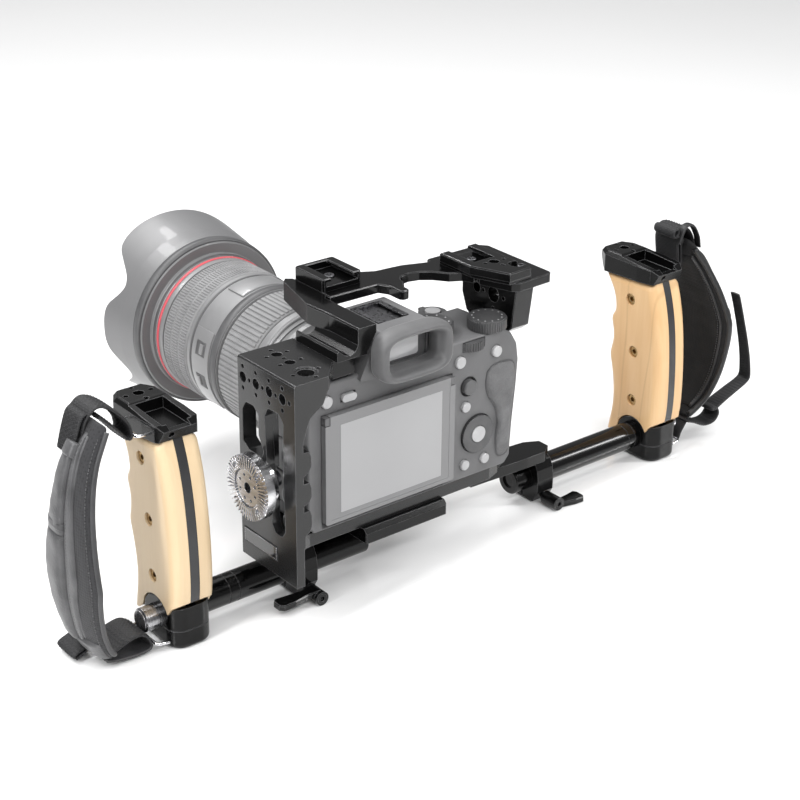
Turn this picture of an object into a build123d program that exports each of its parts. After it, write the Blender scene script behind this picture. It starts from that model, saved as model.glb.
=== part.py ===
from build123d import *
import os
import math

# Two-handed mirrorless camera rig: half cage, lens, two wooden side handles on 15 mm rods.
# All lengths in millimetres.  Working frame while modelling:
#   X = operator's right, Y = towards the lens, Z = up, Y = 0 at the camera's screen face.
# Every solid is shifted once, at export, so that the origin is the bottom centre of the whole rig.

# ---------------------------------------------------------------- driving dimensions
OX, OY, OZ = 67.145, 96.75, -40.00        # shift to the bottom centre of the whole rig
ROD_D = 15.0                              # standard light-weight support rod
ROD_Y, ROD_Z = 31.0, -26.8                # rod axis
ROD_L_X = (-104.5, 10.0)                  # left rod, from inside the left handle to its free end
ROD_R_X = (108.9, 218.0)                  # right rod
FLOOR_Z = -40.0
CAM_X = (-42.3, 84.6)                     # camera body width 126.9
CAM_Z0 = 4.0                              # underside of the camera body
SHOULDER_Z = 79.0                         # top plates of the camera body
LENS_X, LENS_Z = 12.7, 45.0               # optical axis (runs along Y)
MOUNT_Y = 46.0                            # camera mount flange
PANEL_X0, PANEL_T = -58.8, 4.5            # cage side panel outer face and thickness
PANEL_Y = (-10.9, 33.6)
PANEL_Z = (-12.0, 90.8)
HOLE_Z = 81.2                             # row of accessory threads on the side panel
HOLE_PITCH = 10.3
R_BIG = 2.6                               # 1/4-20 tapping bore
R_SMALL = 1.1
R_38 = 4.0                                # 3/8-16 tapping bore
PLATE_Z = (99.9, 104.5)                   # top bridge plate
SHOE_TOP = 111.0                          # top of both cold shoes
HANDLE_LX = (-109.5, -87.5)               # left handle base
HANDLE_RX = (201.5, 223.5)                # right handle base
GAP = 0.3
LCD_X = (-34.0, 44.0)
LCD_Z = (7.8, 63.5)

OUT = {}


def bx(x0, x1, y0, y1, z0, z1):
    return Pos((x0 + x1) / 2, (y0 + y1) / 2, (z0 + z1) / 2) * Box(abs(x1 - x0), abs(y1 - y0), abs(z1 - z0))


def cx(y, z, r, x0, x1):
    return Pos((x0 + x1) / 2, y, z) * Rot(0, 90, 0) * Cylinder(r, abs(x1 - x0))


def cy(x, z, r, y0, y1):
    return Pos(x, (y0 + y1) / 2, z) * Rot(90, 0, 0) * Cylinder(r, abs(y1 - y0))


def cz(x, y, r, z0, z1):
    return Pos(x, y, (z0 + z1) / 2) * Cylinder(r, abs(z1 - z0))


def face(pts, rad=0.0, radii=None):
    f = make_face(Polyline(*[(p[0], p[1]) for p in pts], close=True))
    if rad:
        f = fillet(f.vertices(), rad)
    return f


def px(f, x0, x1):
    """sketch drawn in (y, z), extruded along X"""
    return extrude(Plane(origin=(x0, 0, 0), x_dir=(0, 1, 0), z_dir=(1, 0, 0)) * f, x1 - x0)


def py(f, y0, y1):
    """sketch drawn in (x, z), extruded along Y"""
    return extrude(Plane(origin=(0, y1, 0), x_dir=(1, 0, 0), z_dir=(0, -1, 0)) * f, y1 - y0)


def pz(f, z0, z1):
    """sketch drawn in (x, y), extruded along Z"""
    return extrude(Pos(0, 0, z0) * f, z1 - z0)


def fil(part, edges, r):
    try:
        q = fillet(edges, r)
        if q.is_valid and q.volume > 0:
            return q
    except Exception:
        pass
    return part


def cham(part, edges, r):
    try:
        q = chamfer(edges, r)
        if q.is_valid and q.volume > 0:
            return q
    except Exception:
        pass
    return part


def put(name, *shapes):
    sol = []
    for s in shapes:
        sol += list(s.solids())
    OUT[name] = sol


def revolve_y(pts, xc=LENS_X, zc=LENS_Z):
    """closed profile of (radius, y) turned about the lens axis"""
    f = make_face(Polyline(*pts, close=True))
    # drawn in (x, y) of a plane whose local y is the world Y
    pl = Plane(origin=(xc, 0, zc), x_dir=(1, 0, 0), z_dir=(0, 0, 1))
    return revolve(pl * f, Axis((xc, 0, zc), (0, 1, 0)), 360)


def gear_sketch(r, depth, n):
    pts = []
    for i in range(n):
        a = 2 * math.pi * i / n
        b = 2 * math.pi * (i + 0.35) / n
        c = 2 * math.pi * (i + 0.5) / n
        d = 2 * math.pi * (i + 0.85) / n
        pts += [(r * math.cos(a), r * math.sin(a)), (r * math.cos(b), r * math.sin(b)),
                ((r - depth) * math.cos(c), (r - depth) * math.sin(c)),
                ((r - depth) * math.cos(d), (r - depth) * math.sin(d))]
    return make_face(Polyline(*pts, close=True))


# ================================================================= CAGE
x0 = PANEL_X0
x1 = x0 + PANEL_T
# side panel
panel = px(face([(PANEL_Y[0], PANEL_Z[0]), (PANEL_Y[1], PANEL_Z[0]), (PANEL_Y[1], PANEL_Z[1]), (PANEL_Y[0], PANEL_Z[1])]), x0, x1)
# thickened rib around the front window (deep pocket walls)
panel += bx(x1 - 0.01, x1 + 3.0, 12.5, PANEL_Y[1], 40.0, 76.0)
# rear return flange with three lobes
fl = face([(x0, 8.0), (-53.6, 8.0), (-53.6, 14.0), (-51.2, 15.6), (-50.0, 18.6), (-50.0, 23.6), (-50.9, 26.4), (-55.4, 26.6), (-54.6, 29.6),
           (-51.4, 31.0), (-50.0, 33.4), (-50.0, 37.8), (-50.9, 40.8), (-55.4, 41.0), (-54.6, 44.6), (-51.4, 46.4), (-50.0, 49.0), (-50.0, 53.4),
           (-50.9, 56.6), (-55.4, 56.8), (-54.4, 61.0), (-53.0, 66.0), (-51.6, 70.0), (-50.0, 73.6), (x0, 73.6)])
flange = py(fl, PANEL_Y[0], PANEL_Y[0] + 5.0)
# rear end of the shelf
shelf_pts = [(x0, PANEL_Y[0]), (-40.0, PANEL_Y[0]), (-27.6, 2.6), (-27.6, PANEL_Y[1]), (x0, PANEL_Y[1])]
shelf = pz(face(shelf_pts), 84.0, PANEL_Z[1])
shelf_drop = py(face([(x0, 70.0), (-50.2, 73.0), (-43.0, 78.0), (-40.0, 84.5), (x0, 84.5)]), PANEL_Y[0], PANEL_Y[0] + 5.0)
# wall that steps down behind the camera's left shoulder
shelf_in = bx(-40.0, -27.6, 6.0, PANEL_Y[1], 82.2, 84.2)
# bottom plate under the camera
bottom = pz(face([(x0, 4.0), (-46.0, 4.0), (-40.0, 5.0), (72.0, 5.0), (80.0, 8.0), (92.0, 16.5), (94.0, 20.0), (94.0, 38.0), (90.0, 42.0), (78.0, 45.0),
                  (60.0, 52.0), (-30.0, 52.0), (-40.0, PANEL_Y[1] - 0.2), (x0, PANEL_Y[1] - 0.2)]), -3.2, 3.7)
cage = panel + flange + shelf + shelf_drop + shelf_in + bottom
# long edges
cage = cham(cage, [e for e in cage.edges().filter_by(Axis.Y) if abs(e.center().X - x0) < 0.01 and abs(e.center().Z - PANEL_Z[1]) < 0.01], 0.8)
# windows in the side panel
win_a = px(face([(30.6, 48.5), (30.6, 64.8), (27.5, 69.4), (21.5, 69.6), (17.8, 66.5), (17.8, 56.0), (14.0, 49.0), (15.6, 45.6), (26.0, 45.6)], 1.6), x0 - 1, x1 + 6)
win_b = px(face([(12.8, 67.5), (10.0, 72.6), (2.0, 72.9), (-1.7, 69.5), (-1.2, 50.0), (-2.0, 14.0), (0.5, 10.4), (6.0, 10.4), (8.4, 14.0), (8.2, 27.0),
                 (11.6, 43.0)], 1.8), x0 - 1, x1 + 2)
cage -= win_a
cage -= win_b
for i in range(4):
    yy = 29.5 - HOLE_PITCH * i
    cage -= cx(yy, HOLE_Z, R_BIG, x0 - 1, x1 + 1)
    cage -= cx(yy, HOLE_Z + 5.4, R_SMALL, x0 - 1, x1 + 1)
    cage -= cx(yy, HOLE_Z - 5.4, R_SMALL, x0 - 1, x1 + 1)
    if i < 3:
        cage -= cx(yy - HOLE_PITCH / 2, HOLE_Z, R_SMALL, x0 - 1, x1 + 1)
cage -= cx(-6.7, HOLE_Z, R_SMALL, x0 - 1, x1 + 1)
# shelf holes: two 1/4 in groups and one 3/8 in with locating pins
for (hx, hy, r) in ((-44.3, 23.0, R_BIG), (-44.6, 12.2, R_BIG), (-45.0, -0.6, R_38)):
    cage -= cz(hx, hy, r, 80, 95)
for (hx, hy) in ((-38.6, 23.0), (-49.8, 23.0), (-44.2, 17.6), (-43.8, 28.4), (-38.6, 12.2), (-49.9, 12.2), (-44.6, -7.6), (-38.2, -0.6), (-51.8, -0.6)):
    cage -= cz(hx, hy, R_SMALL, 80, 95)
# relief ring around the 3/8 in bore
cage -= cz(-45.0, -0.6, 5.6, 90.2, 92)
# seats for the rosette boss, badge and bottom accessory threads
cage -= bx(x0 - 1, x0 + 0.8, 4.5, 31.5, -4.2, 3.4)
for (hx, hy) in ((20.0, 36.0), (34.0, 36.0), (48.0, 36.0), (62.0, 36.0), (-10.0, 42.0)):
    cage -= cz(hx, hy, R_BIG, -8, 8)
ROS_Y, ROS_Z = 13.0, 34.2
cage -= cx(ROS_Y, ROS_Z, 2.6, x0 - 1, x1 + 1)
put("cage_body", cage)

# badge plate (blank)
badge = bx(x0 - 0.25, x0 + 0.8, 4.8, 31.2, -3.9, 3.1)
put("badge_plate", badge)

# left tower: foot on the shelf, gutter-shaped shoulder, long top rib
tw = face([(-28.4, PANEL_Z[1] + 0.0), (-28.4, 95.4), (-27.4, 96.2), (-24.5, 93.6), (-21.0, 92.4), (-18.2, 93.6), (-16.6, 96.4),
           (-16.6, PLATE_Z[1]), (-6.2, PLATE_Z[1]), (-6.2, 100.6), (-11.4, 91.4), (-11.4, PANEL_Z[1])])
tower = py(tw, -2.0, 30.0)
tower += bx(-27.5, -15.0, 3.0, 30.0, 80.6, PANEL_Z[1] + 0.2)
rib = pz(face([(-16.6, -2.0), (-16.6, 20.0), (-17.6, 36.0), (-9.4, 66.4), (-6.6, 69.0), (-3.6, 66.6), (-3.6, 40.0), (-6.2, 37.0), (-6.2, -2.0)]), 94.8, PLATE_Z[1])
# the rib is relieved underneath where it passes the finder housing
rib -= bx(-12.6, 5, -3, 46, 90, 99.9)
tower += rib
tower = cham(tower, [e for e in tower.edges().filter_by(Axis.Y) if abs(e.center().X + 16.6) < 0.01 and abs(e.center().Z - PLATE_Z[1]) < 0.01], 0.7)
put("left_tower", tower)

# top bridge plate
br = face([(-3.6, 36.6), (-3.6, 66.0), (19.6, 66.0), (21.0, 58.4), (28.0, 54.4), (34.0, 51.0), (44.0, 50.0), (50.0, 49.2), (58.0, 46.2), (63.5, 44.4), (64.5, 48.0), (98.6, 48.0), (101.9, 44.0),
           (101.9, -1.8), (99.9, -3.6), (79.5, -4.4), (76.5, -2.0), (68.4, 20.0), (66.5, 23.5), (61.0, 26.5),
           (56.0, 33.0), (50.5, 37.0), (45.0, 38.4), (40.0, 37.6), (37.6, 35.0), (36.4, 31.0), (32.6, 26.0), (32.6, 22.4), (31.0, 21.4), (28.6, 21.4), (27.3, 23.0),
           (27.3, 31.0), (24.5, 36.0)])
bridge = pz(br, PLATE_Z[0], PLATE_Z[1])
bridge = fil(bridge, [e for e in bridge.edges().filter_by(Axis.Z) if (abs(e.center().X + 3.6) > 0.1)], 1.2)
# round relief where the plate bends into the side block
bridge -= cz(70.6, 16.4, 1.6, PLATE_Z[0] - 1, PLATE_Z[1] + 1)
bridge = cham(bridge, bridge.edges().filter_by(Plane.XY).group_by(Axis.Z)[-1], 0.5)
# long threaded insert bores of the side block continue through the plate
bridge -= cz(84.0, 3.6, R_38, PLATE_Z[0] - 1, PLATE_Z[1] + 1)
bridge -= cz(77.6, 12.6, R_BIG, PLATE_Z[0] - 1, PLATE_Z[1] + 1)
put("top_bridge", bridge)


def cold_shoe(xa, xb, ya, yb, z0, ztop):
    """cold shoe: 18.7 wide throat, 2.0 slot height under 1.6 lips, open towards the operator"""
    xc = (xa + xb) / 2
    s = bx(xa, xb, ya, yb, z0, ztop)
    s = cham(s, s.edges().filter_by(Axis.Z), 1.0)
    s -= bx(xc - 6.4, xc + 6.4, ya - 1, yb - 2.4, ztop - 1.7, ztop + 1)
    s -= bx(xc - 9.35, xc + 9.35, ya - 1, yb - 2.4, ztop - 3.9, ztop - 1.6)
    s -= cz(xc, (ya + yb) / 2 - 1, 1.6, z0 - 1, ztop)
    s = cham(s, s.edges().filter_by(Plane.XY).group_by(Axis.Z)[-1], 0.45)
    return s


shoe = cold_shoe(-3.3, 19.6, 42.6, 66.0, PLATE_Z[1], SHOE_TOP)
put("cold_shoe_left", shoe)

# right block: second shoe at the front, drilled top, stepped edge, on the bridge plate
bk = face([(64.0, 37.4), (64.0, 15.0), (72.6, -5.0), (86.4, -4.4), (87.2, -2.0), (87.2, 37.4)])
block = pz(bk, 106.6, SHOE_TOP)
bk2 = face([(65.4, 39.0), (65.4, 15.4), (73.6, -3.6), (88.0, -3.0), (88.6, -1.0), (88.6, 39.0)])
block += pz(bk2, PLATE_Z[1], 106.8)
block = cham(block, block.edges().filter_by(Plane.XY).group_by(Axis.Z)[-1], 0.6)
block -= bx(75.6 - 6.4, 75.6 + 6.4, 17.6, 40, SHOE_TOP - 1.7, SHOE_TOP + 1)
block -= bx(75.6 - 9.35, 75.6 + 9.35, 17.6, 40, SHOE_TOP - 3.9, SHOE_TOP - 1.6)
block -= cz(84.0, 3.6, R_38, PLATE_Z[1] - 1, SHOE_TOP + 1)
block -= cz(77.6, 12.6, R_BIG, PLATE_Z[1] - 1, SHOE_TOP + 1)
for (hx, hy) in ((83.4, 12.2), (72.6, 13.2), (77.9, 6.6)):
    block -= cz(hx, hy, R_SMALL, SHOE_TOP - 6, SHOE_TOP + 1)
put("shoe_block_right", block)

# right wing hanging beside the grip side of the camera
wg = face([(6.4, PLATE_Z[0]), (48.0, PLATE_Z[0]), (48.0, 82.0), (44.5, 73.0), (38.0, 68.4), (14.6, 69.6), (10.0, 73.4)], 0.9)
wing = px(wg, 88.0, 99.9)
wing = cham(wing, [e for e in wing.edges().filter_by(GeomType.LINE) if abs(e.center().X - 88.0) < 0.01 or abs(e.center().X - 99.9) < 0.01], 0.5)
wing -= cx(24.0, 87.5, R_38, 80, 110)
for (yy, zz) in ((16.5, 87.5), (31.5, 87.5), (24.0, 80.0), (36.5, 87.5)):
    wing -= cx(yy, zz, R_SMALL if yy != 36.5 else R_BIG, 80, 110)
put("right_wing", wing)

# dovetail accessory wedge under the cage
wd = face([(-9.6, -10.6), (40.6, -10.6), (40.6, -3.2), (-9.6, -3.2)])
wedge = py(wd, 0.6, 40.0)
wedge = cham(wedge, [e for e in wedge.edges().filter_by(Axis.X) if e.center().Y < 1.0 and e.center().Z > -4], 2.2)
wedge = cham(wedge, [e for e in wedge.edges().filter_by(Axis.Z) if e.center().Y < 1.0], 0.6)
wedge -= cz(15.5, 14.0, R_BIG, -14, 0)
wedge -= cz(15.5, 30.0, R_38, -14, 0)
put("base_dovetail", wedge)

# rosette: flange with 60 radial teeth on a short boss
boss = cx(ROS_Y, ROS_Z, 10.6, x0 - 5.2, x0) + cx(ROS_Y, ROS_Z, 15.9, x0 - 9.0, x0 - 5.2)
teeth = []
ros_outer = x0 - 11.0
n = 48
ring = cx(ROS_Y, ROS_Z, 15.9, ros_outer, x0 - 8.9) - cx(ROS_Y, ROS_Z, 9.6, ros_outer - 1, x0 - 8.0)
hubf = cx(ROS_Y, ROS_Z, 9.0, ros_outer + 0.9, x0 - 8.9)
vee = px(face([(9.0, -0.12), (16.6, -0.85), (16.6, 0.85), (9.0, 0.12)]), ros_outer - 0.5, ros_outer + 1.4)
vees = []
for i in range(n):
    vees.append(Pos(0, ROS_Y, ROS_Z) * Rot(360.0 * i / n, 0, 0) * vee)
ring = ring - vees
ros = boss + ring + hubf
ros -= cx(ROS_Y, ROS_Z, 2.6, ros_outer - 2, x0 + 1)
for k in range(8):
    a = math.radians(45 * k + 22.5)
    ros -= cx(ROS_Y + 6.4 * math.cos(a), ROS_Z + 6.4 * math.sin(a), 0.8, ros_outer - 2, ros_outer + 3.4)
for k in range(4):
    a = math.radians(90 * k + 45)
    ros -= cx(ROS_Y + 12.2 * math.cos(a), ROS_Z + 12.2 * math.sin(a), 1.3, ros_outer - 2, ros_outer + 3.0)
put("rosette", ros)

# fasteners fixed to the cage
sc = []


def cap_screw(base, r_head, h_head, hexr, axis="z"):
    s = Cylinder(r_head, h_head)
    s = cham(s, s.edges().group_by(Axis.Z)[-1], 0.25)
    s -= Pos(0, 0, h_head / 2) * extrude(RegularPolygon(hexr, 6), -h_head * 0.6)
    return base * s


# cold shoe screw, bridge-to-rib screws (from below), wing screws, camera tie-down screw in the plate
sc.append(cap_screw(Pos(8.15, 53.3, SHOE_TOP - 3.9 + 0.45), 2.6, 0.9, 1.2))
sc.append(cap_screw(Pos(77.0, 28.6, SHOE_TOP - 3.9 + 0.45), 2.4, 0.9, 1.1))
sc.append(cap_screw(Pos(x1 + 1.0, ROS_Y, ROS_Z) * Rot(0, 90, 0), 4.0, 2.0, 2.0))
sc.append(cap_screw(Pos(94.0, 38.0, PLATE_Z[1] + 0.45), 2.3, 0.9, 1.1))
sc.append(cap_screw(Pos(95.0, 12.0, PLATE_Z[1] + 0.45), 2.3, 0.9, 1.1))
put("cage_screws", *sc)

# ================================================================= ROD CLAMPS
HUB_Z = -36.3
HUB_R = 3.6


def clamp(xa, xb, arm):
    """split clamp around a rod, slit below, hung from the cage's bottom plate"""
    xc = (xa + xb) / 2
    o = face([(18.8, -26.0), (19.0, -33.0), (20.8, -36.0), (22.6, -38.9), (30.7, -38.9), (30.7, -39.2), (31.3, -39.2), (31.3, -38.9),
              (39.0, -38.9), (41.6, -35.0), (43.0, -28.0), (43.0, -22.0), (39.0, -15.0), (35.0, -13.0), (26.0, -13.0), (22.0, -15.6), (19.6, -20.0)])
    c = px(o, xa, xb)
    if arm:
        # low arm that reaches out from under the cage
        c += pz(face([(74.0, 21.0), (112.0, 19.4), (xb - 6.0, 19.6), (xb, 24.0), (xb, 31.0), (xb - 8.0, 35.0), (96.0, 37.0), (74.0, 39.0)]), -15.4, -9.6)
        c += bx(74.0, 92.0, 21.0, 37.0, -12.0, -3.2)
    else:
        c += bx(xa, xb, 23.0, 39.0, -15.0, -3.2)
    c -= cx(ROD_Y, ROD_Z, ROD_D / 2 + 0.05, xa - 5, xb + 5)
    c -= bx(xa - 1, xb + 1, ROD_Y - 0.5, ROD_Y + 0.5, -45, ROD_Z)
    c -= cy(xc, HUB_Z, 1.45, 10, 50)
    return c


CL_X = (-36.5, -25.5)
CR_X = (119.5, 130.5)
put("rod_clamp_left", clamp(CL_X[0], CL_X[1], False))
put("rod_clamp_right", clamp(CR_X[0], CR_X[1], True))


def lever(xc, sgn, zp, k, dy):
    """clamp lever: hub on the screw axis (along Y) and a flat paddle pointing outwards"""
    hub = cy(xc, HUB_Z, HUB_R, 7.6, 18.4)
    out = [(-1.0, 17.6), (-1.0, 9.4), (7.0, 9.8), (15.0, 8.4), (21.6, 8.2), (23.6, 10.2), (23.6, 14.8), (21.6, 17.0), (15.0, 16.2), (7.0, 15.6)]
    pad = pz(face([(xc + sgn * a * k, b - (dy if a > 0 else 0)) for (a, b) in out]), zp, zp + 2.8)
    pad = cham(pad, pad.edges().filter_by(Plane.XY).group_by(Axis.Z)[-1], 0.5)
    lv = hub + pad
    lv -= cy(xc, HUB_Z, 2.55, 6.0, 10.4)
    lv -= cy(xc, HUB_Z, 1.55, 6.0, 20.0)
    screw = cy(xc, HUB_Z, 2.5, 7.5, 10.35) + cy(xc, HUB_Z, 1.4, 7.5, 38.6)
    screw -= py(Pos(xc, HUB_Z) * RegularPolygon(1.45, 6), 6.5, 9.2)
    return lv, screw


lv, sw = lever((CL_X[0] + CL_X[1]) / 2, -1, -35.4, 1.0, 0.0)
put("clamp_lever_left", lv, sw)
lv, sw = lever((CR_X[0] + CR_X[1]) / 2, 1, -39.6, 0.78, 1.6)
put("clamp_lever_right", lv, sw)


def rod(xa, xb, grooves, free):
    r = cx(ROD_Y, ROD_Z, ROD_D / 2, xa, xb)
    r = cham(r, r.edges(), 0.6)
    for g in grooves:
        r -= cx(ROD_Y, ROD_Z, 9.0, g - 0.25, g + 0.25) - cx(ROD_Y, ROD_Z, 7.2, g - 1, g + 1)
    # bore at the free end for the joining plug
    if free > 0:
        r -= cx(ROD_Y, ROD_Z, 4.0, xb - 12.0, xb + 1)
        plug = cx(ROD_Y, ROD_Z, 3.95, xb - 11.0, xb - 1.0)
    else:
        r -= cx(ROD_Y, ROD_Z, 4.0, xa - 1, xa + 12.0)
        plug = cx(ROD_Y, ROD_Z, 3.95, xa + 1.0, xa + 11.0)
    return r, plug


put("rod_left", *rod(ROD_L_X[0], ROD_L_X[1], (-72.8, -67.4), 1))
put("rod_right", *rod(ROD_R_X[0], ROD_R_X[1], (192.7, 197.4), -1))

# ================================================================= HANDLES
# side profile (y, z) of the wood: leaning forward, finger grooves in front, arch over the rod
def wood_face():
    rear = [(14.4, -15.6), (13.9, -12.0), (13.4, 0.0), (13.8, 14.0), (14.9, 28.0), (16.8, 42.0), (19.6, 54.0), (23.4, 64.6)]
    front = [(58.9, 62.6), (55.8, 57.6), (52.6, 52.2), (51.0, 46.6), (51.2, 41.6), (52.7, 38.8), (53.1, 36.4), (52.0, 31.6), (51.3, 26.0),
             (52.1, 20.4), (52.9, 15.6), (52.0, 11.0), (50.3, 4.0), (49.0, -5.0), (48.9, -14.0), (50.0, -22.0), (51.5, -30.2)]
    with BuildSketch() as s:
        with BuildLine():
            Spline(*rear)
            Line(rear[-1], (26.0, 64.3))
            Line((26.0, 64.3), front[0])
            Spline(*front)
            Line(front[-1], (46.0, -29.4))
            Spline((46.0, -29.4), (42.6, -26.0), (41.2, -22.0))
            ThreePointArc((41.2, -22.0), (31.0, -15.9), (20.8, -22.0))
            Line((20.8, -22.0), (18.6, -18.6))
            Line((18.6, -18.6), rear[0])
        make_face()
    return s.sketch


WOOD = wood_face()


def handle(xa, xb, out):
    """xa..xb thickness of the handle; out = -1 or +1, the outer side that carries the strap"""
    n = "left" if out < 0 else "right"
    xc = (xa + xb) / 2
    wt = 22.4
    wa, wb = xc - wt / 2, xc + wt / 2
    body = px(WOOD, wa, wb)
    # round the long edges of the outer faces; the arch over the rod is part of the profile
    side_edges = [e for e in body.edges() if (abs(e.center().X - wa) < 0.01 or abs(e.center().X - wb) < 0.01) and e.length > 30]
    body = fil(body, side_edges, 4.2)
    s1 = body & bx(wa - 1, xc - 2.5, -50, 150, -60, 150)
    s2 = body & bx(xc + 2.5, wb + 1, -50, 150, -60, 150)
    core = (px(WOOD, xc - 2.45, xc + 2.45) & bx(wa, wb, -50, 150, -60, 150))
    scr = []
    for (yy, zz) in ((37.8, 52.4), (33.4, 22.6), (32.4, -6.2)):
        s1 -= cx(yy, zz, 3.3, wa - 1, wa + 3.4)
        s2 -= cx(yy, zz, 3.3, wb - 3.4, wb + 1)
        s1 -= cx(yy, zz, 2.05, wa - 1, xc)
        s2 -= cx(yy, zz, 2.05, xc, wb + 1)
        core -= cx(yy, zz, 2.05, xc - 4, xc + 4)
        bolt = cx(yy, zz, 2.0, wa + 1.2, wb - 1.2) + cx(yy, zz, 3.1, wa + 1.0, wa + 3.4) + cx(yy, zz, 3.1, wb - 3.4, wb - 1.0)
        for (xe, dd) in ((wa + 1.0, 1), (wb - 1.0, -1)):
            hexs = px(Pos(yy, zz) * RegularPolygon(1.5, 6), min(xe, xe + dd * 1.6) - (0.3 if dd > 0 else 0), max(xe, xe + dd * 1.6) + (0.3 if dd < 0 else 0))
            bolt -= hexs
        scr.append(bolt)
    # ---- base: metal block with the rod bore, and a lower cover
    bf = face([(xa, 15.2), (xb, 15.2), (xb, 47.4), (xa, 47.4)])
    bf = fillet(bf.vertices(), 7.6)
    base = pz(bf, -30.2, -14.0)
    # the upper edge follows the foot of the wood with a small step
    cutp = px(face([(0, -15.9), (18.4, -18.95), (20.4, -22.0), (20.8, -22.3), (25.0, -18.0), (31.0, -16.15), (37.0, -18.0), (41.0, -22.6), (42.0, -26.8), (44.6, -30.5), (60, -31.3), (60, 0), (0, 0)]), xa - 2, xb + 2)
    # keep the tongue that fills the arch behind the rod
    base = base - cutp
    base += cx(31.0, -26.3, 10.0, xa + 0.3, xb - 0.3) & bx(xa, xb, 0, 60, -30.2, -16.25)
    base -= cx(ROD_Y, ROD_Z, ROD_D / 2 + 0.05, xc - 11.5 if out > 0 else xa + 3.0, xb - 3.0 if out > 0 else xc + 11.5)
    cov = pz(bf, FLOOR_Z, -30.5)
    cov = fil(cov, cov.edges().filter_by(Plane.XY).group_by(Axis.Z)[0], 2.4)
    cov -= cx(ROD_Y, ROD_Z, ROD_D / 2 + 0.05, xc - 11.5 if out > 0 else xa + 3.0, xb - 3.0 if out > 0 else xc + 11.5)
    # release button bore on the outer side
    bxa, bxb = (xa - 1, xa + 3.2) if out < 0 else (xb - 3.2, xb + 1)
    base -= cx(ROD_Y, ROD_Z, 6.0, bxa, bxb)
    cov -= cx(ROD_Y, ROD_Z, 6.0, bxa, bxb)
    # ---- top cap
    prof = face([(22.6, 65.0), (26.0, 64.7), (58.6, 63.0), (62.4, 66.0), (65.4, 70.0), (63.8, 74.9), (48.6, 74.9), (47.4, 74.3), (24.0, 73.0), (20.2, 70.6)])
    ca, cb = xc - 11.8, xc + 11.8
    plan = face([(ca + 5.6, 16.0), (cb - 5.6, 16.0), (cb - 0.6, 24.5), (cb, 34.0), (cb, 58.4), (cb - 5.2, 67.0), (ca + 5.2, 67.0), (ca, 58.4), (ca, 34.0), (ca + 0.6, 24.5)])
    outl = pz(plan, 50, 75.6)
    outl = cham(outl, outl.faces().sort_by(Axis.Z)[-1].edges(), 2.9)
    capb = px(prof, ca, cb) & outl
    # pocket behind the drilled pad: open to the rear at a lower floor
    capb -= bx(xc - 7.6, xc + 7.6, 23.6, 47.0, 68.6, 80)
    capb -= bx(xc - 5.4, xc + 5.4, 14.0, 24.0, 70.6, 80)
    capb = cham(capb, [e for e in capb.edges().filter_by(Plane.XY).group_by(Axis.Z)[-1]], 0.5)
    capb -= cz(xc, 55.6, R_BIG, 66.6, 80)
    for (dx, dy) in ((0, 6.6), (0, -6.6), (6.6, 0), (-6.6, 0)):
        capb -= cz(xc + dx, 55.6 + dy, 1.25, 68.0, 80)
    # small side tag and rear screw
    capb -= cy(xc - 4.2, 68.2, 1.5, 15, 24)
    # strap loop holes on the outer side
    xo = ca if out < 0 else cb
    for yy in (30.0, 50.0):
        capb -= cx(yy, 67.4, 0.85, min(xo, xo - out * 6.0), max(xo, xo - out * 6.0))
    return dict(n=n, s1=s1, s2=s2, core=core, scr=scr, base=base, cov=cov, cap=capb, xc=xc, ca=ca, cb=cb, xa=xa, xb=xb, out=out)


def wire_loop(out, xo, y0, y1, z, reach, drop, r=0.8, inset=5.5):
    """closed-ended wire bail: two legs out of the side and a straight bar"""
    x_in = xo - out * inset
    x_o = xo + out * reach
    p = [(x_in, y0, z), (x_o, y0, z + drop), (x_o, y1, z + drop), (x_in, y1, z)]
    path = FilletPolyline(*p, radius=2.0)
    prof = Plane(origin=p[0], z_dir=Vector(*p[1]) - Vector(*p[0])) * Circle(r)
    return sweep(prof, path=path)


def make_handle(xa, xb, out):
    h = handle(xa, xb, out)
    n = h["n"]
    put("grip_scales_" + n, h["s1"], h["s2"])
    put("grip_core_" + n, h["core"])
    put("grip_screws_" + n, *h["scr"])
    put("handle_base_" + n, h["base"], h["cov"])
    put("top_cap_" + n, h["cap"])
    xo = h["ca"] if out < 0 else h["cb"]
    # release button on the rod axis
    xside = h["xa"] if out < 0 else h["xb"]
    # sits in its bore with a running clearance, 3 mm travel inwards
    b = cx(ROD_Y, ROD_Z, 5.92, min(xside + out * 8.6, xside - out * 0.1), max(xside + out * 8.6, xside - out * 0.1))
    b = cham(b, [e for e in b.edges() if (e.center().X - xside) * out > 8], 0.7)
    b = b + cx(ROD_Y, ROD_Z, 5.0, min(xside + out * 8.6, xside + out * 9.0), max(xside + out * 8.6, xside + out * 9.0))
    put("release_button_" + n, b)
    # strap bails: top (on the cap) and bottom (on the base cover)
    top = wire_loop(out, xo, 30.0, 50.0, 67.4, 5.0, 0.0)
    xbase = h["xa"] if out < 0 else h["xb"]
    lowz = -36.4
    bot = wire_loop(out, xbase, 20.5, 42.5, lowz, 6.6, 1.2, inset=-0.02)
    put("strap_bails_" + n, top, bot)
    return h


HL = make_handle(HANDLE_LX[0], HANDLE_LX[1], -1)
HR = make_handle(HANDLE_RX[0], HANDLE_RX[1], 1)


def band(pts, ys, t):
    """strap body: polyline of (x, z) with a y range at each point; a chain of lofted quads"""
    secs = []
    m = len(pts)
    for i, (x, z) in enumerate(pts):
        a = pts[max(i - 1, 0)]
        b = pts[min(i + 1, m - 1)]
        d = Vector(b[0] - a[0], 0, b[1] - a[1]).normalized()
        ya, yb = ys[i]
        pl = Plane(origin=(x, (ya + yb) / 2, z), x_dir=(0, 1, 0), z_dir=d)
        secs.append(pl * Rectangle(yb - ya, t))
    return loft(secs, ruled=True)


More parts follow.
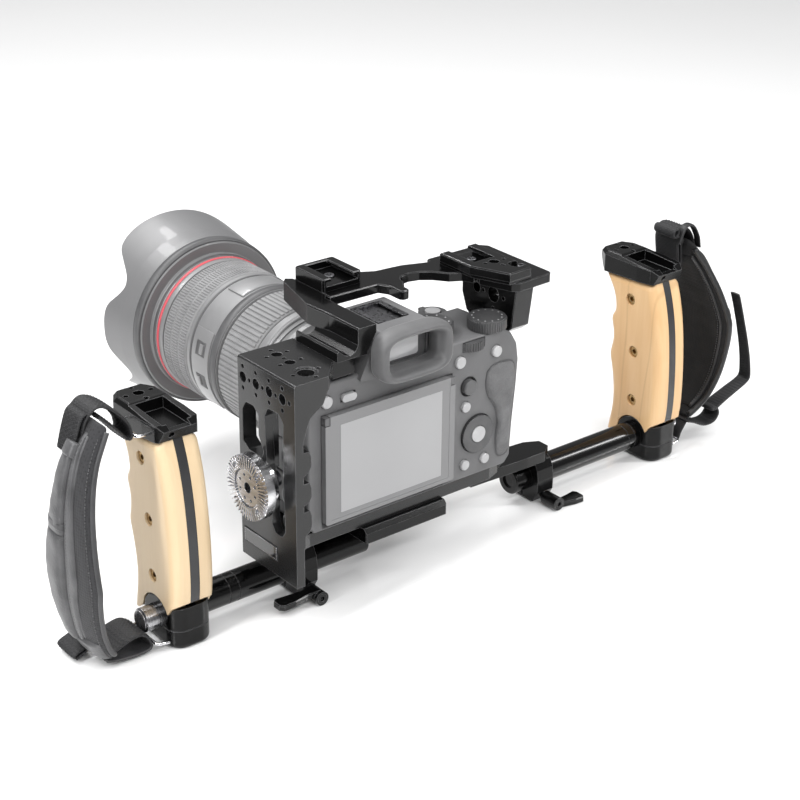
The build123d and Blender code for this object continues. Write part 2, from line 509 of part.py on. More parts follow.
def strap(h):
    """padded back-of-hand strap between the two bails, with its webbing ends"""
    out = h["out"]
    xs = h["ca"] if out < 0 else h["cb"]

    def P(d, z):
        return (xs + out * d, z)

    if out < 0:
        pad_pts = [P(27.0, 75.0), P(31.0, 66.0), P(34.6, 53.0), P(37.0, 36.0), P(38.0, 18.0), P(37.4, 0.0), P(34.6, -16.0), P(29.5, -31.0)]
        ys = [(18.0, 42.0), (13.5, 47.5), (11.5, 51.0), (11.0, 52.5), (11.0, 52.5), (12.0, 51.5), (14.5, 49.0), (18.0, 45.5)]
        wt = band([P(5.9, 69.8), P(8.6, 74.8), P(14.0, 79.0), P(20.0, 79.6), P(25.0, 77.2)], [(31.8, 48.2)] * 5, 1.8)
        wb = band([P(8.6, -34.2), P(14.0, -37.2), P(22.0, -37.4), P(28.0, -34.8)], [(22.0, 38.5)] * 4, 1.8)
        tail = band([P(30.4, -33.6), P(35.0, -36.0), P(40.0, -37.6)], [(36.0, 52.4)] * 3, 2.4)
    else:
        pad_pts = [P(10.0, 79.0), P(18.0, 66.0), P(25.6, 50.0), P(30.6, 34.0), P(32.2, 17.0), P(30.4, 0.0), P(24.0, -14.0), P(13.0, -22.4)]
        ys = [(25.0, 49.0), (17.0, 54.0), (12.5, 57.5), (11.5, 58.5), (11.5, 58.5), (12.5, 56.0), (16.0, 51.0), (20.0, 45.0)]
        wt = band([P(5.9, 69.8), P(5.6, 74.6), P(6.2, 79.2), P(6.4, 83.4)], [(31.8, 48.2)] * 4, 1.8)
        wb = band([P(8.6, -34.2), P(11.2, -35.6), P(14.6, -33.4), P(16.6, -28.6)], [(24.0, 41.5)] * 4, 1.8)
        # loose end of the webbing standing away from the pad
        tail = band([P(20.5, -27.6), P(33.0, -22.0), P(49.0, -16.4), P(59.8, -12.2), P(60.4, -8.0), P(57.0, 6.0), P(50.4, 26.0), P(41.8, 46.0)],
                    [(18.0, 24.6), (17.5, 24.1), (17.0, 23.6), (16.5, 23.1), (16.5, 23.1), (16.5, 23.1), (16.5, 23.1), (16.5, 23.1)], 1.8)
    return [band(pad_pts, ys, 6.0), wt, wb, tail]


for h in (HL, HR):
    put("hand_strap_" + h["n"], *strap(h))

# ================================================================= CAMERA
# body silhouette (x, z) without the finder hump
sil = face([(-42.3, 8.0), (-38.5, CAM_Z0), (80.0, CAM_Z0), (83.6, 8.0), (84.6, 26.0), (86.6, 46.0), (87.4, 60.0), (86.0, 69.0), (82.0, 75.6), (76.0, SHOULDER_Z), (-36.0, SHOULDER_Z), (-41.5, 73.0)])
cam = py(sil, 3.0, 38.0)
cam = fil(cam, cam.edges().filter_by(Axis.Y), 2.0)
cam = fil(cam, [e for e in cam.edges().filter_by(Plane.XZ) if e.length > 8], 1.2)
# hand grip at the front right
gr = face([(56.0, 36.0), (58.0, 48.0), (62.0, 57.0), (69.0, 60.5), (77.0, 59.0), (83.5, 52.0), (84.6, 42.0), (84.6, 20.0), (56.0, 20.0)], 2.0)
grip = pz(gr, CAM_Z0 + 0.5, 74.0)
# the top of the grip slopes down towards the shutter release
grip -= px(face([(36.0, 80.0), (36.0, 74.5), (44.0, 71.4), (62.0, 69.6), (62.0, 80.0)]), 50, 90)
grip = Part() + grip.solids()
cam += grip
# finder hump and mount collar
hump = py(face([(-14.0, 76.0), (-11.0, 82.0), (-5.0, 94.6), (-1.5, 98.2), (26.5, 98.2), (30.5, 94.6), (36.0, 82.0), (39.5, 76.0)], 1.2), 0.6, 34.0)
hump += py(face([(-10.0, 70.0), (-2.0, 88.0), (28.0, 88.0), (36.0, 70.0)], 1.0), 33.9, 40.0)
cam += hump
cam += cy(LENS_X, LENS_Z, 34.0, 37.0, 43.0)
cam += cy(LENS_X, LENS_Z, 31.0, 42.5, MOUNT_Y)
cam &= bx(-60, 100, -5, 80, CAM_Z0, 120)
# sensor chamber
cam -= cy(LENS_X, LENS_Z, 23.0, 30.0, MOUNT_Y + 1)
# screen recess and arm pivot holes
cam -= bx(LCD_X[0] - 0.45, LCD_X[1] + 0.45, -3, 8.6, LCD_Z[0] - 0.45, LCD_Z[1] + 0.5)
cam -= cx(5.0, 9.6, 1.05, LCD_X[0] - 2.2, LCD_X[1] + 2.2)
# relief below the screen: its lower edge swings down past the body when the arm tilts out
cam -= px(face([(2.0, 4.05), (5.9, 7.78), (2.0, 7.78)]), LCD_X[0] - 0.45, LCD_X[1] + 0.45)
# finder tunnel for the eyecup, hot-shoe seat
cam -= bx(-2.4, 25.4, -1, 8.0, 80.6, 95.0)
cam -= bx(3.4, 22.0, 9.0, 31.0, 96.4, 100)
# button wells on the back (x, z, r)
WELLS = {
    "c3_button": (-31.4, 70.4, 3.0), "menu_button": (-18.8, 69.8, 3.9), "afon_button": (48.8, 68.5, 3.0), "ael_button": (72.1, 68.4, 2.9),
    "fn_button": (52.9, 43.6, 2.6), "play_button": (53.0, 11.8, 2.6), "delete_button": (66.0, 11.8, 2.6),
}
for k, (wx, wz, r) in WELLS.items():
    if k == "menu_button":
        cam -= bx(wx - 4.35, wx + 4.35, -2, 6.2, wz - 2.15, wz + 2.15)
    else:
        cam -= cy(wx, wz, r + 0.25, -2, 6.2)
CW = (60.9, 27.0)
cam -= cy(CW[0], CW[1], 10.3, -2, 5.6)
cam -= cy(CW[0], CW[1], 1.55, 5.0, 10.0)
JS = (54.8, 54.0)
cam -= cy(JS[0], JS[1], 5.2, -2, 6.2)
# top controls
MD = (46.0, 19.5)     # mode dial
ED = (71.6, 9.8)      # exposure dial
TD = (57.6, 7.2)      # thumb dial, axis vertical, rim through the rear edge
SB = (70.6, 50.0)     # shutter release
cam -= cz(MD[0], MD[1], 10.0, SHOULDER_Z, 90)
cam -= cz(MD[0], MD[1], 2.05, 70, 90)
cam -= cz(ED[0], ED[1], 2.05, 70, 90)
cam -= cz(TD[0], TD[1], 8.25, 72.9, 78.0)
cam -= cz(TD[0], TD[1], 1.55, 68.0, 73.0)
cam -= cz(SB[0], SB[1], 2.05, 58, 90)
# port recess on the left end face
cam -= bx(-43.5, -40.6, 9.0, 32.0, 14.0, 66.0)
# tripod bush in the base
cam -= cz(LENS_X, 22.0, R_BIG, 0, 12.0)
cam = Part() + [s for s in cam.solids() if s.volume > 5]
put("camera_body", cam)

# eyecup: rubber frame round the finder window
ec_out = fillet(face([(-8.6, 74.6), (-10.6, 84.0), (-6.6, 99.0), (-1.0, 101.2), (25.0, 101.2), (31.6, 98.4), (34.4, 84.0), (31.4, 74.6)]).vertices(), 3.2)
ec_in = fillet(face([(-3.6, 79.6), (26.4, 79.6), (26.4, 95.6), (-3.6, 95.6)]).vertices(), 3.0)
ec = py(ec_out, -12.0, 0.3) - py(ec_in, -13, 3)
ec_mid = fillet(face([(-6.0, 77.4), (29.4, 77.4), (29.4, 98.0), (-6.0, 98.0)]).vertices(), 3.6)
ec -= py(ec_mid, -13, -7.6)
ec = fil(ec, [e for e in ec.edges() if e.center().Y < -11.9], 1.0)
put("evf_eyecup", ec)
put("finder_window", bx(-2.1, 25.1, 4.2, 7.8, 80.9, 94.7))

# hot shoe
hs = bx(3.7, 21.7, 9.3, 30.7, 96.4, 98.7) - bx(6.6, 18.8, 8.0, 28.6, 97.9, 99.5) - bx(4.7, 20.7, 8.0, 28.6, 97.0, 98.1)
put("hot_shoe", hs)

# port doors on the left end (three rubber covers)
pc = []
for (za, zb) in ((14.6, 30.2), (31.0, 47.6), (48.4, 65.4)):
    d = bx(-43.0, -40.6, 9.6, 31.4, za, zb)
    d = cham(d, [e for e in d.edges() if e.center().X < -42.9], 0.6)
    d -= cx(27.5, (za + zb) / 2, 0.9, -44, -42.4)
    pc.append(d)
put("port_covers", *pc)

# screen arm (behind the panel) and screen panel
AX_Y, AX_Z = 5.0, 9.6           # lower pivot
PX_Y, PX_Z = 1.6, 62.2          # upper pivot
arm = bx(LCD_X[0] + 0.1, LCD_X[1] - 0.1, 6.2, 8.0, 8.2, LCD_Z[1] - 0.2)
arm += bx(LCD_X[0] + 0.1, LCD_X[0] + 2.6, 0.2, 8.0, 59.6, LCD_Z[1] - 0.2)
arm += bx(LCD_X[1] - 2.6, LCD_X[1] - 0.1, 0.2, 8.0, 59.6, LCD_Z[1] - 0.2)
arm += bx(LCD_X[0] + 0.1, LCD_X[0] + 2.6, 3.4, 8.0, 8.2, 13.0)
arm += bx(LCD_X[1] - 2.6, LCD_X[1] - 0.1, 3.4, 8.0, 8.2, 13.0)
arm += cx(AX_Y, AX_Z, 1.0, LCD_X[0] - 2.0, LCD_X[0] + 2.0) + cx(AX_Y, AX_Z, 1.0, LCD_X[1] - 2.0, LCD_X[1] + 2.0)
arm -= bx(-12, 22, 5.0, 9.0, 18.0, 50.0)
arm -= cx(PX_Y, PX_Z, 0.85, LCD_X[0] - 1, LCD_X[1] + 1)
put("lcd_arm", arm)
lcd = bx(LCD_X[0] + 0.05, LCD_X[1] - 0.05, 0.0, 5.8, LCD_Z[0], LCD_Z[1])
lcd = cham(lcd, [e for e in lcd.edges().filter_by(Axis.Y)], 0.8)
lcd -= bx(LCD_X[0] - 1, LCD_X[0] + 2.9, -1, 7, 59.2, 66) + bx(LCD_X[1] - 2.9, LCD_X[1] + 1, -1, 7, 59.2, 66)
lcd -= bx(LCD_X[0] - 1, LCD_X[0] + 2.9, 3.0, 7, 6, 13.4) + bx(LCD_X[1] - 2.9, LCD_X[1] + 1, 3.0, 7, 6, 13.4)
lcd += cx(PX_Y, PX_Z, 0.8, LCD_X[0] + 0.5, LCD_X[0] + 4.0) + cx(PX_Y, PX_Z, 0.8, LCD_X[1] - 4.0, LCD_X[1] - 0.5)
# glass is its own solid in a shallow tray
lcd -= bx(-30.6, 40.6, -1, 0.8, 9.8, 61.0)
glass = bx(-30.55, 40.55, 0.12, 0.8, 9.85, 60.95)
put("lcd_panel", lcd, glass)


def dial_z(x, y, r, z0, z1, n, stem_r, stem_z):
    d = pz(Pos(x, y) * gear_sketch(r, 0.45, n), z0, z1 - 0.6)
    d += cz(x, y, r - 0.6, z1 - 0.7, z1)
    d += cz(x, y, stem_r, stem_z, z0 + 0.1)
    return d


put("mode_dial", dial_z(MD[0], MD[1], 9.6, SHOULDER_Z + GAP, 85.4, 40, 2.0, 73.0))
put("exposure_dial", dial_z(ED[0], ED[1], 9.8, SHOULDER_Z + GAP, 85.0, 48, 2.0, 73.0))
td = pz(Pos(TD[0], TD[1]) * gear_sketch(7.9, 0.5, 36), 73.2, 77.7) + cz(TD[0], TD[1], 1.5, 69.0, 73.3)
put("thumb_dial", td)
# control wheel ring on the back with a sunk centre button
wheel = py(Pos(*CW) * (gear_sketch(10.0, 0.35, 48)), 1.6, 5.2)
wheel += cy(CW[0], CW[1], 1.5, 5.1, 9.0)
wheel -= cy(CW[0], CW[1], 4.45, -1, 4.2)
wheel = Part() + wheel.solids()
put("control_wheel", wheel)
put("select_button", cy(CW[0], CW[1], 4.2, 1.2, 3.0))
js = cy(JS[0], JS[1], 1.3, 3.4, 6.0) + cy(JS[0], JS[1], 3.9, 0.6, 3.5)
js = cham(js, [e for e in js.edges() if e.center().Y < 0.7], 0.6)
put("joystick", js)
# shutter button, power ring
cam += cz(SB[0], SB[1], 7.6, 60.0, 71.6)
cam -= cz(SB[0], SB[1], 2.05, 58, 90)
cam = Part() + cam.solids()
put("camera_body", cam)
put("shutter_button", cz(SB[0], SB[1], 4.0, 73.0, 74.8) + cz(SB[0], SB[1], 2.0, 64.0, 73.1))
ringp = cz(SB[0], SB[1], 7.4, 71.9, 73.8) - cz(SB[0], SB[1], 4.3, 60, 90)
ringp += bx(SB[0] - 1.6, SB[0] + 1.6, SB[1] + 6.4, SB[1] + 9.6, 71.9, 73.4)
put("power_switch", ringp)
for k, (wx, wz, r) in WELLS.items():
    if k == "menu_button":
        b = bx(wx - 4.1, wx + 4.1, 1.4, 4.6, wz - 1.9, wz + 1.9)
        b = fil(b, b.edges().filter_by(Axis.Y), 1.85)
    else:
        b = cy(wx, wz, r, 1.4, 4.6)
        b = cham(b, [e for e in b.edges() if e.center().Y < 1.5], 0.35)
    put(k, b)

# ================================================================= LENS
A0 = MOUNT_Y
put("mount_adapter", revolve_y([(22.0, A0), (31.0, A0), (31.0, A0 + 3), (33.4, A0 + 5), (33.8, A0 + 22), (32.6, A0 + 26), (22.0, A0 + 26)]))
B0 = A0 + 26.0
# fixed barrel: tube through both rings
put("lens_barrel", revolve_y([(20.0, B0), (33.4, B0), (34.8, B0 + 5.0), (34.8, B0 + 9.0), (32.6, B0 + 9.0), (32.6, B0 + 34.6), (36.4, B0 + 34.8), (36.4, B0 + 62.0),
                              (33.6, B0 + 62.0), (33.6, B0 + 84.2), (36.9, B0 + 84.4), (37.4, B0 + 86.2), (37.4, B0 + 90.0), (38.6, B0 + 92.0), (38.6, B0 + 101.0), (35.4, B0 + 101.0),
                              (34.1, B0 + 99.0), (34.1, B0 + 93.8), (22.0, B0 + 90.8), (20.0, B0 + 60.0)]))
zr = revolve_y([(32.65, B0 + 9.3), (36.2, B0 + 9.3), (36.2, B0 + 34.4), (32.65, B0 + 34.4)])
put("zoom_ring", zr)
fr = revolve_y([(33.65, B0 + 62.3), (37.3, B0 + 62.3), (37.3, B0 + 84.0), (33.65, B0 + 84.0)])
put("focus_ring", fr)
put("front_element", revolve_y([(0.0, B0 + 91.0), (22.0, B0 + 91.4), (33.9, B0 + 94.0), (33.9, B0 + 96.6), (30.0, B0 + 97.9), (20.0, B0 + 99.2), (10.0, B0 + 99.9), (0.0, B0 + 100.2)]))
# petal hood: flared shell cut by a four-lobed edge
H0 = B0 + 93.0
hood = revolve_y([(38.65, H0 + 0.6), (44.0, H0), (45.6, H0 + 1.6), (46.2, H0 + 6.5), (48.0, H0 + 16.0), (49.7, H0 + 28.0), (50.9, H0 + 37.0), (51.3, H0 + 40.5),
                  (50.0, H0 + 40.5), (49.5, H0 + 37.0), (48.3, H0 + 28.0), (46.6, H0 + 16.4), (44.6, H0 + 7.2), (38.65, H0 + 7.2)])
# four lobes: long ones above and below, shorter ones at the sides; front edge as (height above the axis, Y)
RIM = [(0.0, 29.2), (8.0, 29.0), (13.0, 27.4), (17.5, 23.4), (21.5, 20.0), (24.5, 18.8), (28.0, 20.2), (32.0, 25.0), (36.0, 31.6), (40.0, 37.2), (44.0, 39.4), (56.0, 40.0)]
rim = [(H0 + y, LENS_Z + z) for (z, y) in reversed(RIM)] + [(H0 + y, LENS_Z - z) for (z, y) in RIM[1:]]
with BuildSketch() as sk:
    with BuildLine():
        Spline(*rim)
        Line(rim[-1], (H0 + 60.0, rim[-1][1]))
        Line((H0 + 60.0, rim[-1][1]), (H0 + 60.0, rim[0][1]))
        Line((H0 + 60.0, rim[0][1]), rim[0])
    make_face()
hood -= px(sk.sketch, LENS_X - 60, LENS_X + 60)
hood = Part() + [q for q in hood.solids() if q.volume > 500]
put("lens_hood", hood)

# ================================================================= EXPORT
OUT = {k: v for k, v in OUT.items() if v}
off = Location((-OX, -OY, -OZ))
os.makedirs("parts", exist_ok=True)
for f in os.listdir("parts"):
    if f.endswith(".step"):
        os.remove(os.path.join("parts", f))
lo = [1e9] * 3
hi = [-1e9] * 3
for name, solids in OUT.items():
    moved = [s.moved(off) for s in solids]
    shape = moved[0] if len(moved) == 1 else Compound(children=moved)
    b = shape.bounding_box()
    for i, (a, c) in enumerate(((b.min.X, b.max.X), (b.min.Y, b.max.Y), (b.min.Z, b.max.Z))):
        lo[i] = min(lo[i], a)
        hi[i] = max(hi[i], c)
    export_step(shape, "parts/" + name + ".step")
print(len(OUT), "nodes")
print("box", [round(v, 2) for v in lo], [round(v, 2) for v in hi])
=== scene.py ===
import bpy, bmesh, math
from mathutils import Vector, Matrix


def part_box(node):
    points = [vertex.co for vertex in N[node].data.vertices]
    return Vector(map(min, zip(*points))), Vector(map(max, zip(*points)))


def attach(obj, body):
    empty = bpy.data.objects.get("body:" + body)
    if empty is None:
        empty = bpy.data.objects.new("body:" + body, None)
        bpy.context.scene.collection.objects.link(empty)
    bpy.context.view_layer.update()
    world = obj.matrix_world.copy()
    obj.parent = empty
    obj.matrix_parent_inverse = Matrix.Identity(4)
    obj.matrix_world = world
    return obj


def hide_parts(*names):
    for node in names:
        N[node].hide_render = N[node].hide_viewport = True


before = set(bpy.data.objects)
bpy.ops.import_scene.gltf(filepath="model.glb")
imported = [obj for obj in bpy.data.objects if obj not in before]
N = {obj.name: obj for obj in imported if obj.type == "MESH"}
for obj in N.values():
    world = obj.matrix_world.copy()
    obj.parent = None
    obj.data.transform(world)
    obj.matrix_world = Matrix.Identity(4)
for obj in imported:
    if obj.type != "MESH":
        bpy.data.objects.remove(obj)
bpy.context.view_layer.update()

# ------------------------------------------------------------------ working frame
# The CAD model was drawn about the camera's screen face; these offsets are read back from the left rod.
_lo, _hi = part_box("rod_left")
OX = -104.5 - _lo.x * 1000
OY = 31.0 - (_lo.y + _hi.y) * 500
OZ = -26.8 - (_lo.z + _hi.z) * 500


def W(x, y=None, z=None):
    if y is None:
        x, y, z = x
    return Vector(((x - OX) / 1000, (y - OY) / 1000, (z - OZ) / 1000))


# ------------------------------------------------------------------ camera, world and area-light helper
cam = bpy.data.cameras.new("view")
co = bpy.data.objects.new("view", cam)
bpy.context.scene.collection.objects.link(co)
bpy.context.scene.camera = co
YAW, PITCH, ROLL = math.radians(38.83), math.radians(-24.07), math.radians(0.53)
d = Vector((math.sin(YAW) * math.cos(PITCH), math.cos(YAW) * math.cos(PITCH), math.sin(PITCH)))
r = Vector((math.cos(YAW), -math.sin(YAW), 0))
u = r.cross(d)
rr = r * math.cos(ROLL) + u * math.sin(ROLL)
uu = -r * math.sin(ROLL) + u * math.cos(ROLL)
m = Matrix(((rr.x, uu.x, -d.x), (rr.y, uu.y, -d.y), (rr.z, uu.z, -d.z))).to_4x4()
m.translation = W(-483.17, -610.69, 430.43)
co.matrix_world = m
cam.sensor_width = 36.0
cam.lens = 82.99
cam.shift_x = 0.0022
cam.shift_y = -0.0463
cam.clip_start = 0.05
cam.clip_end = 30

world = bpy.data.worlds.new("world")
bpy.context.scene.world = world
world.use_nodes = True
wn = world.node_tree
for n in list(wn.nodes):
    wn.nodes.remove(n)
wo = wn.nodes.new("ShaderNodeOutputWorld")
bgn = wn.nodes.new("ShaderNodeBackground")
bgn.inputs["Color"].default_value = (1, 1, 1, 1)
bgn.inputs["Strength"].default_value = 0.34
wtc = wn.nodes.new("ShaderNodeTexCoord")
wsep = wn.nodes.new("ShaderNodeSeparateXYZ")
wrp = wn.nodes.new("ShaderNodeValToRGB")
wrp.color_ramp.elements[0].position = 0.0
wrp.color_ramp.elements[0].color = (0.75, 0.75, 0.76, 1)
wrp.color_ramp.elements[1].position = 0.85
wrp.color_ramp.elements[1].color = (1.0, 1.0, 1.0, 1)
wn.links.new(wtc.outputs["Generated"], wsep.inputs[0])
wn.links.new(wsep.outputs["Z"], wrp.inputs["Fac"])
wn.links.new(wrp.outputs["Color"], bgn.inputs["Color"])
wn.links.new(bgn.outputs[0], wo.inputs[0])
bpy.context.scene.view_settings.view_transform = "Standard"


def area(name, loc, target, sx, sy, power, col=(1, 1, 1)):
    l = bpy.data.lights.new(name, "AREA")
    l.shape = "RECTANGLE"
    l.size, l.size_y = sx, sy
    l.energy = power
    l.color = col
    o = bpy.data.objects.new(name, l)
    bpy.context.scene.collection.objects.link(o)
    o.location = loc
    o.rotation_euler = (Vector(target) - Vector(loc)).to_track_quat("-Z", "Y").to_euler()
    return o


# ------------------------------------------------------------------ material helpers
def new_mat(name):
    mt = bpy.data.materials.new(name)
    mt.use_nodes = True
    nt = mt.node_tree
    for n in list(nt.nodes):
        nt.nodes.remove(n)
    out = nt.nodes.new("ShaderNodeOutputMaterial")
    b = nt.nodes.new("ShaderNodeBsdfPrincipled")
    nt.links.new(b.outputs[0], out.inputs[0])
    return mt, nt, b


def node(nt, kind, **kw):
    n = nt.nodes.new(kind)
    for k, v in kw.items():
        setattr(n, k, v)
    return n


def coords(nt, scale=(1, 1, 1), rot=(0, 0, 0), loc=(0, 0, 0)):
    tc = nt.nodes.new("ShaderNodeTexCoord")
    mp = nt.nodes.new("ShaderNodeMapping")
    mp.inputs["Scale"].default_value = scale
    mp.inputs["Rotation"].default_value = rot
    mp.inputs["Location"].default_value = loc
    nt.links.new(tc.outputs["Object"], mp.inputs["Vector"])
    return mp.outputs["Vector"]


def noise(nt, vec, scale, detail=3.0, rough=0.55, dist=0.0):
    n = nt.nodes.new("ShaderNodeTexNoise")
    n.inputs["Scale"].default_value = scale
    n.inputs["Detail"].default_value = detail
    n.inputs["Roughness"].default_value = rough
    n.inputs["Distortion"].default_value = dist
    nt.links.new(vec, n.inputs["Vector"])
    return n.outputs["Fac"]


def ramp(nt, fac, stops):
    c = nt.nodes.new("ShaderNodeValToRGB")
    e = c.color_ramp.elements
    while len(e) < len(stops):
        e.new(0.5)
    for i, (p, col) in enumerate(stops):
        e[i].position = p
        e[i].color = (*col, 1) if len(col) == 3 else col
    nt.links.new(fac, c.inputs["Fac"])
    return c.outputs["Color"]


def mrange(nt, fac, a, b, c, dd):
    n = nt.nodes.new("ShaderNodeMapRange")
    n.inputs["From Min"].default_value = a
    n.inputs["From Max"].default_value = b
    n.inputs["To Min"].default_value = c
    n.inputs["To Max"].default_value = dd
    nt.links.new(fac, n.inputs["Value"])
    return n.outputs["Result"]


def mixc(nt, fac, a, b, mode="MIX"):
    n = nt.nodes.new("ShaderNodeMix")
    n.data_type = "RGBA"
    n.blend_type = mode
    if isinstance(fac, float):
        n.inputs[0].default_value = fac
    else:
        nt.links.new(fac, n.inputs[0])
    for s, v in ((6, a), (7, b)):
        if isinstance(v, tuple):
            n.inputs[s].default_value = (*v, 1)
        else:
            nt.links.new(v, n.inputs[s])
    return n.outputs[2]


def bump(nt, height, strength, dist, normal=None):
    b = nt.nodes.new("ShaderNodeBump")
    b.inputs["Strength"].default_value = strength
    b.inputs["Distance"].default_value = dist
    nt.links.new(height, b.inputs["Height"])
    if normal is not None:
        nt.links.new(normal, b.inputs["Normal"])
    return b.outputs["Normal"]


def bevel(nt, radius):
    b = nt.nodes.new("ShaderNodeBevel")
    b.samples = 4
    b.inputs["Radius"].default_value = radius
    return b.outputs["Normal"]


def metal_black(name, base=0.022, rough=0.26, metallic=0.75, bev=0.00035, spec=0.6, coat=0.25, grain=900, tint=(1.0, 1.0, 1.03)):
    """black anodised aluminium: fine bead-blast grain, faint cloudy variation, painted highlight along the edges"""
    mt, nt, b = new_mat(name)
    v = coords(nt)
    n1 = noise(nt, v, 45, 4)
    n2 = noise(nt, v, grain, 2)
    n3 = noise(nt, v, 9, 2)
    c = ramp(nt, n1, [(0.3, tuple(base * 0.82 * t for t in tint)), (0.7, tuple(base * 1.25 * t for t in tint))])
    # painted highlight: thin grey lines mixed into the base colour along the edges, where the bevelled normal turns
    # from the true normal, broken up by noise
    geo = nt.nodes.new("ShaderNodeNewGeometry")
    dot = nt.nodes.new("ShaderNodeVectorMath")
    dot.operation = "DOT_PRODUCT"
    nt.links.new(geo.outputs["True Normal"], dot.inputs[0])
    nt.links.new(bevel(nt, bev * 0.8), dot.inputs[1])
    highlight_breakup = mrange(nt, noise(nt, v, 130, 3), 0.25, 0.75, 0.25, 1.0)
    edge = mrange(nt, dot.outputs["Value"], 0.985, 0.90, 0.0, 1.0)
    mu = nt.nodes.new("ShaderNodeMath")
    mu.operation = "MULTIPLY"
    nt.links.new(highlight_breakup, mu.inputs[0])
    nt.links.new(edge, mu.inputs[1])
    c = mixc(nt, mu.outputs[0], c, (0.17, 0.17, 0.175))
    nt.links.new(c, b.inputs["Base Color"])
    ro = mrange(nt, n3, 0.3, 0.7, rough * 0.85, rough * 1.2)
    nt.links.new(ro, b.inputs["Roughness"])
    b.inputs["Metallic"].default_value = metallic
    b.inputs["Specular IOR Level"].default_value = spec
    b.inputs["Coat Weight"].default_value = coat
    b.inputs["Coat Roughness"].default_value = 0.12
    nrm = bevel(nt, bev)
    nt.links.new(bump(nt, n2, 0.12, 0.00004, nrm), b.inputs["Normal"])
    return mt


def plastic(name, c0, c1, rough=0.5, scale=60, bump_scale=1400, bump_s=0.2, bump_d=0.00006, bev=0.0003, coat=0.0, sheen=0.0, vor=False, metallic=0.0):
    mt, nt, b = new_mat(name)
    v = coords(nt)
    n1 = noise(nt, v, scale, 4)
    nt.links.new(ramp(nt, n1, [(0.3, c0), (0.7, c1)]), b.inputs["Base Color"])
    nt.links.new(mrange(nt, noise(nt, v, scale * 0.4, 2), 0.3, 0.7, rough * 0.9, min(1, rough * 1.12)), b.inputs["Roughness"])
    b.inputs["Metallic"].default_value = metallic
    b.inputs["Coat Weight"].default_value = coat
    b.inputs["Sheen Weight"].default_value = sheen
    if vor:
        vo = nt.nodes.new("ShaderNodeTexVoronoi")
        vo.inputs["Scale"].default_value = bump_scale
        nt.links.new(v, vo.inputs["Vector"])
        h = vo.outputs["Distance"]
    else:
        h = noise(nt, v, bump_scale, 2)
    nrm = bevel(nt, bev) if bev else None
    nt.links.new(bump(nt, h, bump_s, bump_d, nrm), b.inputs["Normal"])
    return mt


def steel(name, c0, c1, rough=0.28, stretch=(40, 40, 900), aniso=0.3, bev=0.0002):
    mt, nt, b = new_mat(name)
    v = coords(nt, stretch)
    n1 = noise(nt, v, 3, 3)
    nt.links.new(ramp(nt, n1, [(0.3, c0), (0.7, c1)]), b.inputs["Base Color"])
    nt.links.new(mrange(nt, n1, 0.3, 0.7, rough * 0.8, rough * 1.25), b.inputs["Roughness"])
    b.inputs["Metallic"].default_value = 1.0
    b.inputs["Anisotropic"].default_value = aniso
    nt.links.new(bump(nt, n1, 0.08, 0.00003, bevel(nt, bev)), b.inputs["Normal"])
    return mt


def maple(name, light, mid, dark, figure):
    """oiled maple: long straight grain up the handle, faint flecks and a few mineral lines"""
    mt, nt, b = new_mat(name)
    v = coords(nt, (150, 70, 9))
    warp = noise(nt, coords(nt, (30, 30, 8)), 1.0, 2)
    n1 = noise(nt, v, 1.0, 6, 0.62, 0.6)
    n2 = noise(nt, coords(nt, (900, 500, 26)), 1.0, 3)
    broad = noise(nt, coords(nt, (26, 18, 5)), 1.0, 3, 0.5, 1.2)
    c = ramp(nt, n1, [(0.3, mid), (0.5, light), (0.72, mid)])
    c = mixc(nt, mrange(nt, broad, 0.35, 0.7, 0.0, 0.55), c, dark)
    c = mixc(nt, mrange(nt, n2, 0.55, 0.8, 0.0, 0.28), c, dark)
    # thin wandering mineral lines
    wv = nt.nodes.new("ShaderNodeTexWave")
    wv.wave_type = "BANDS"
    wv.bands_direction = "Y"
    wv.inputs["Scale"].default_value = 1.0
    wv.inputs["Distortion"].default_value = 9.0
    wv.inputs["Detail"].default_value = 3.0
    wv.inputs["Detail Scale"].default_value = 0.6
    nt.links.new(coords(nt, (8, 16, 5)), wv.inputs["Vector"])
    line = mrange(nt, wv.outputs["Fac"], 0.985, 1.0, 0.0, figure)
    c = mixc(nt, line, c, (dark[0] * 0.5, dark[1] * 0.42, dark[2] * 0.35))
    nt.links.new(c, b.inputs["Base Color"])
    nt.links.new(mrange(nt, n1, 0.3, 0.7, 0.36, 0.5), b.inputs["Roughness"])
    b.inputs["Coat Weight"].default_value = 0.12
    b.inputs["Coat Roughness"].default_value = 0.3
    nt.links.new(bump(nt, n2, 0.12, 0.00006, bevel(nt, 0.0006)), b.inputs["Normal"])
    return mt


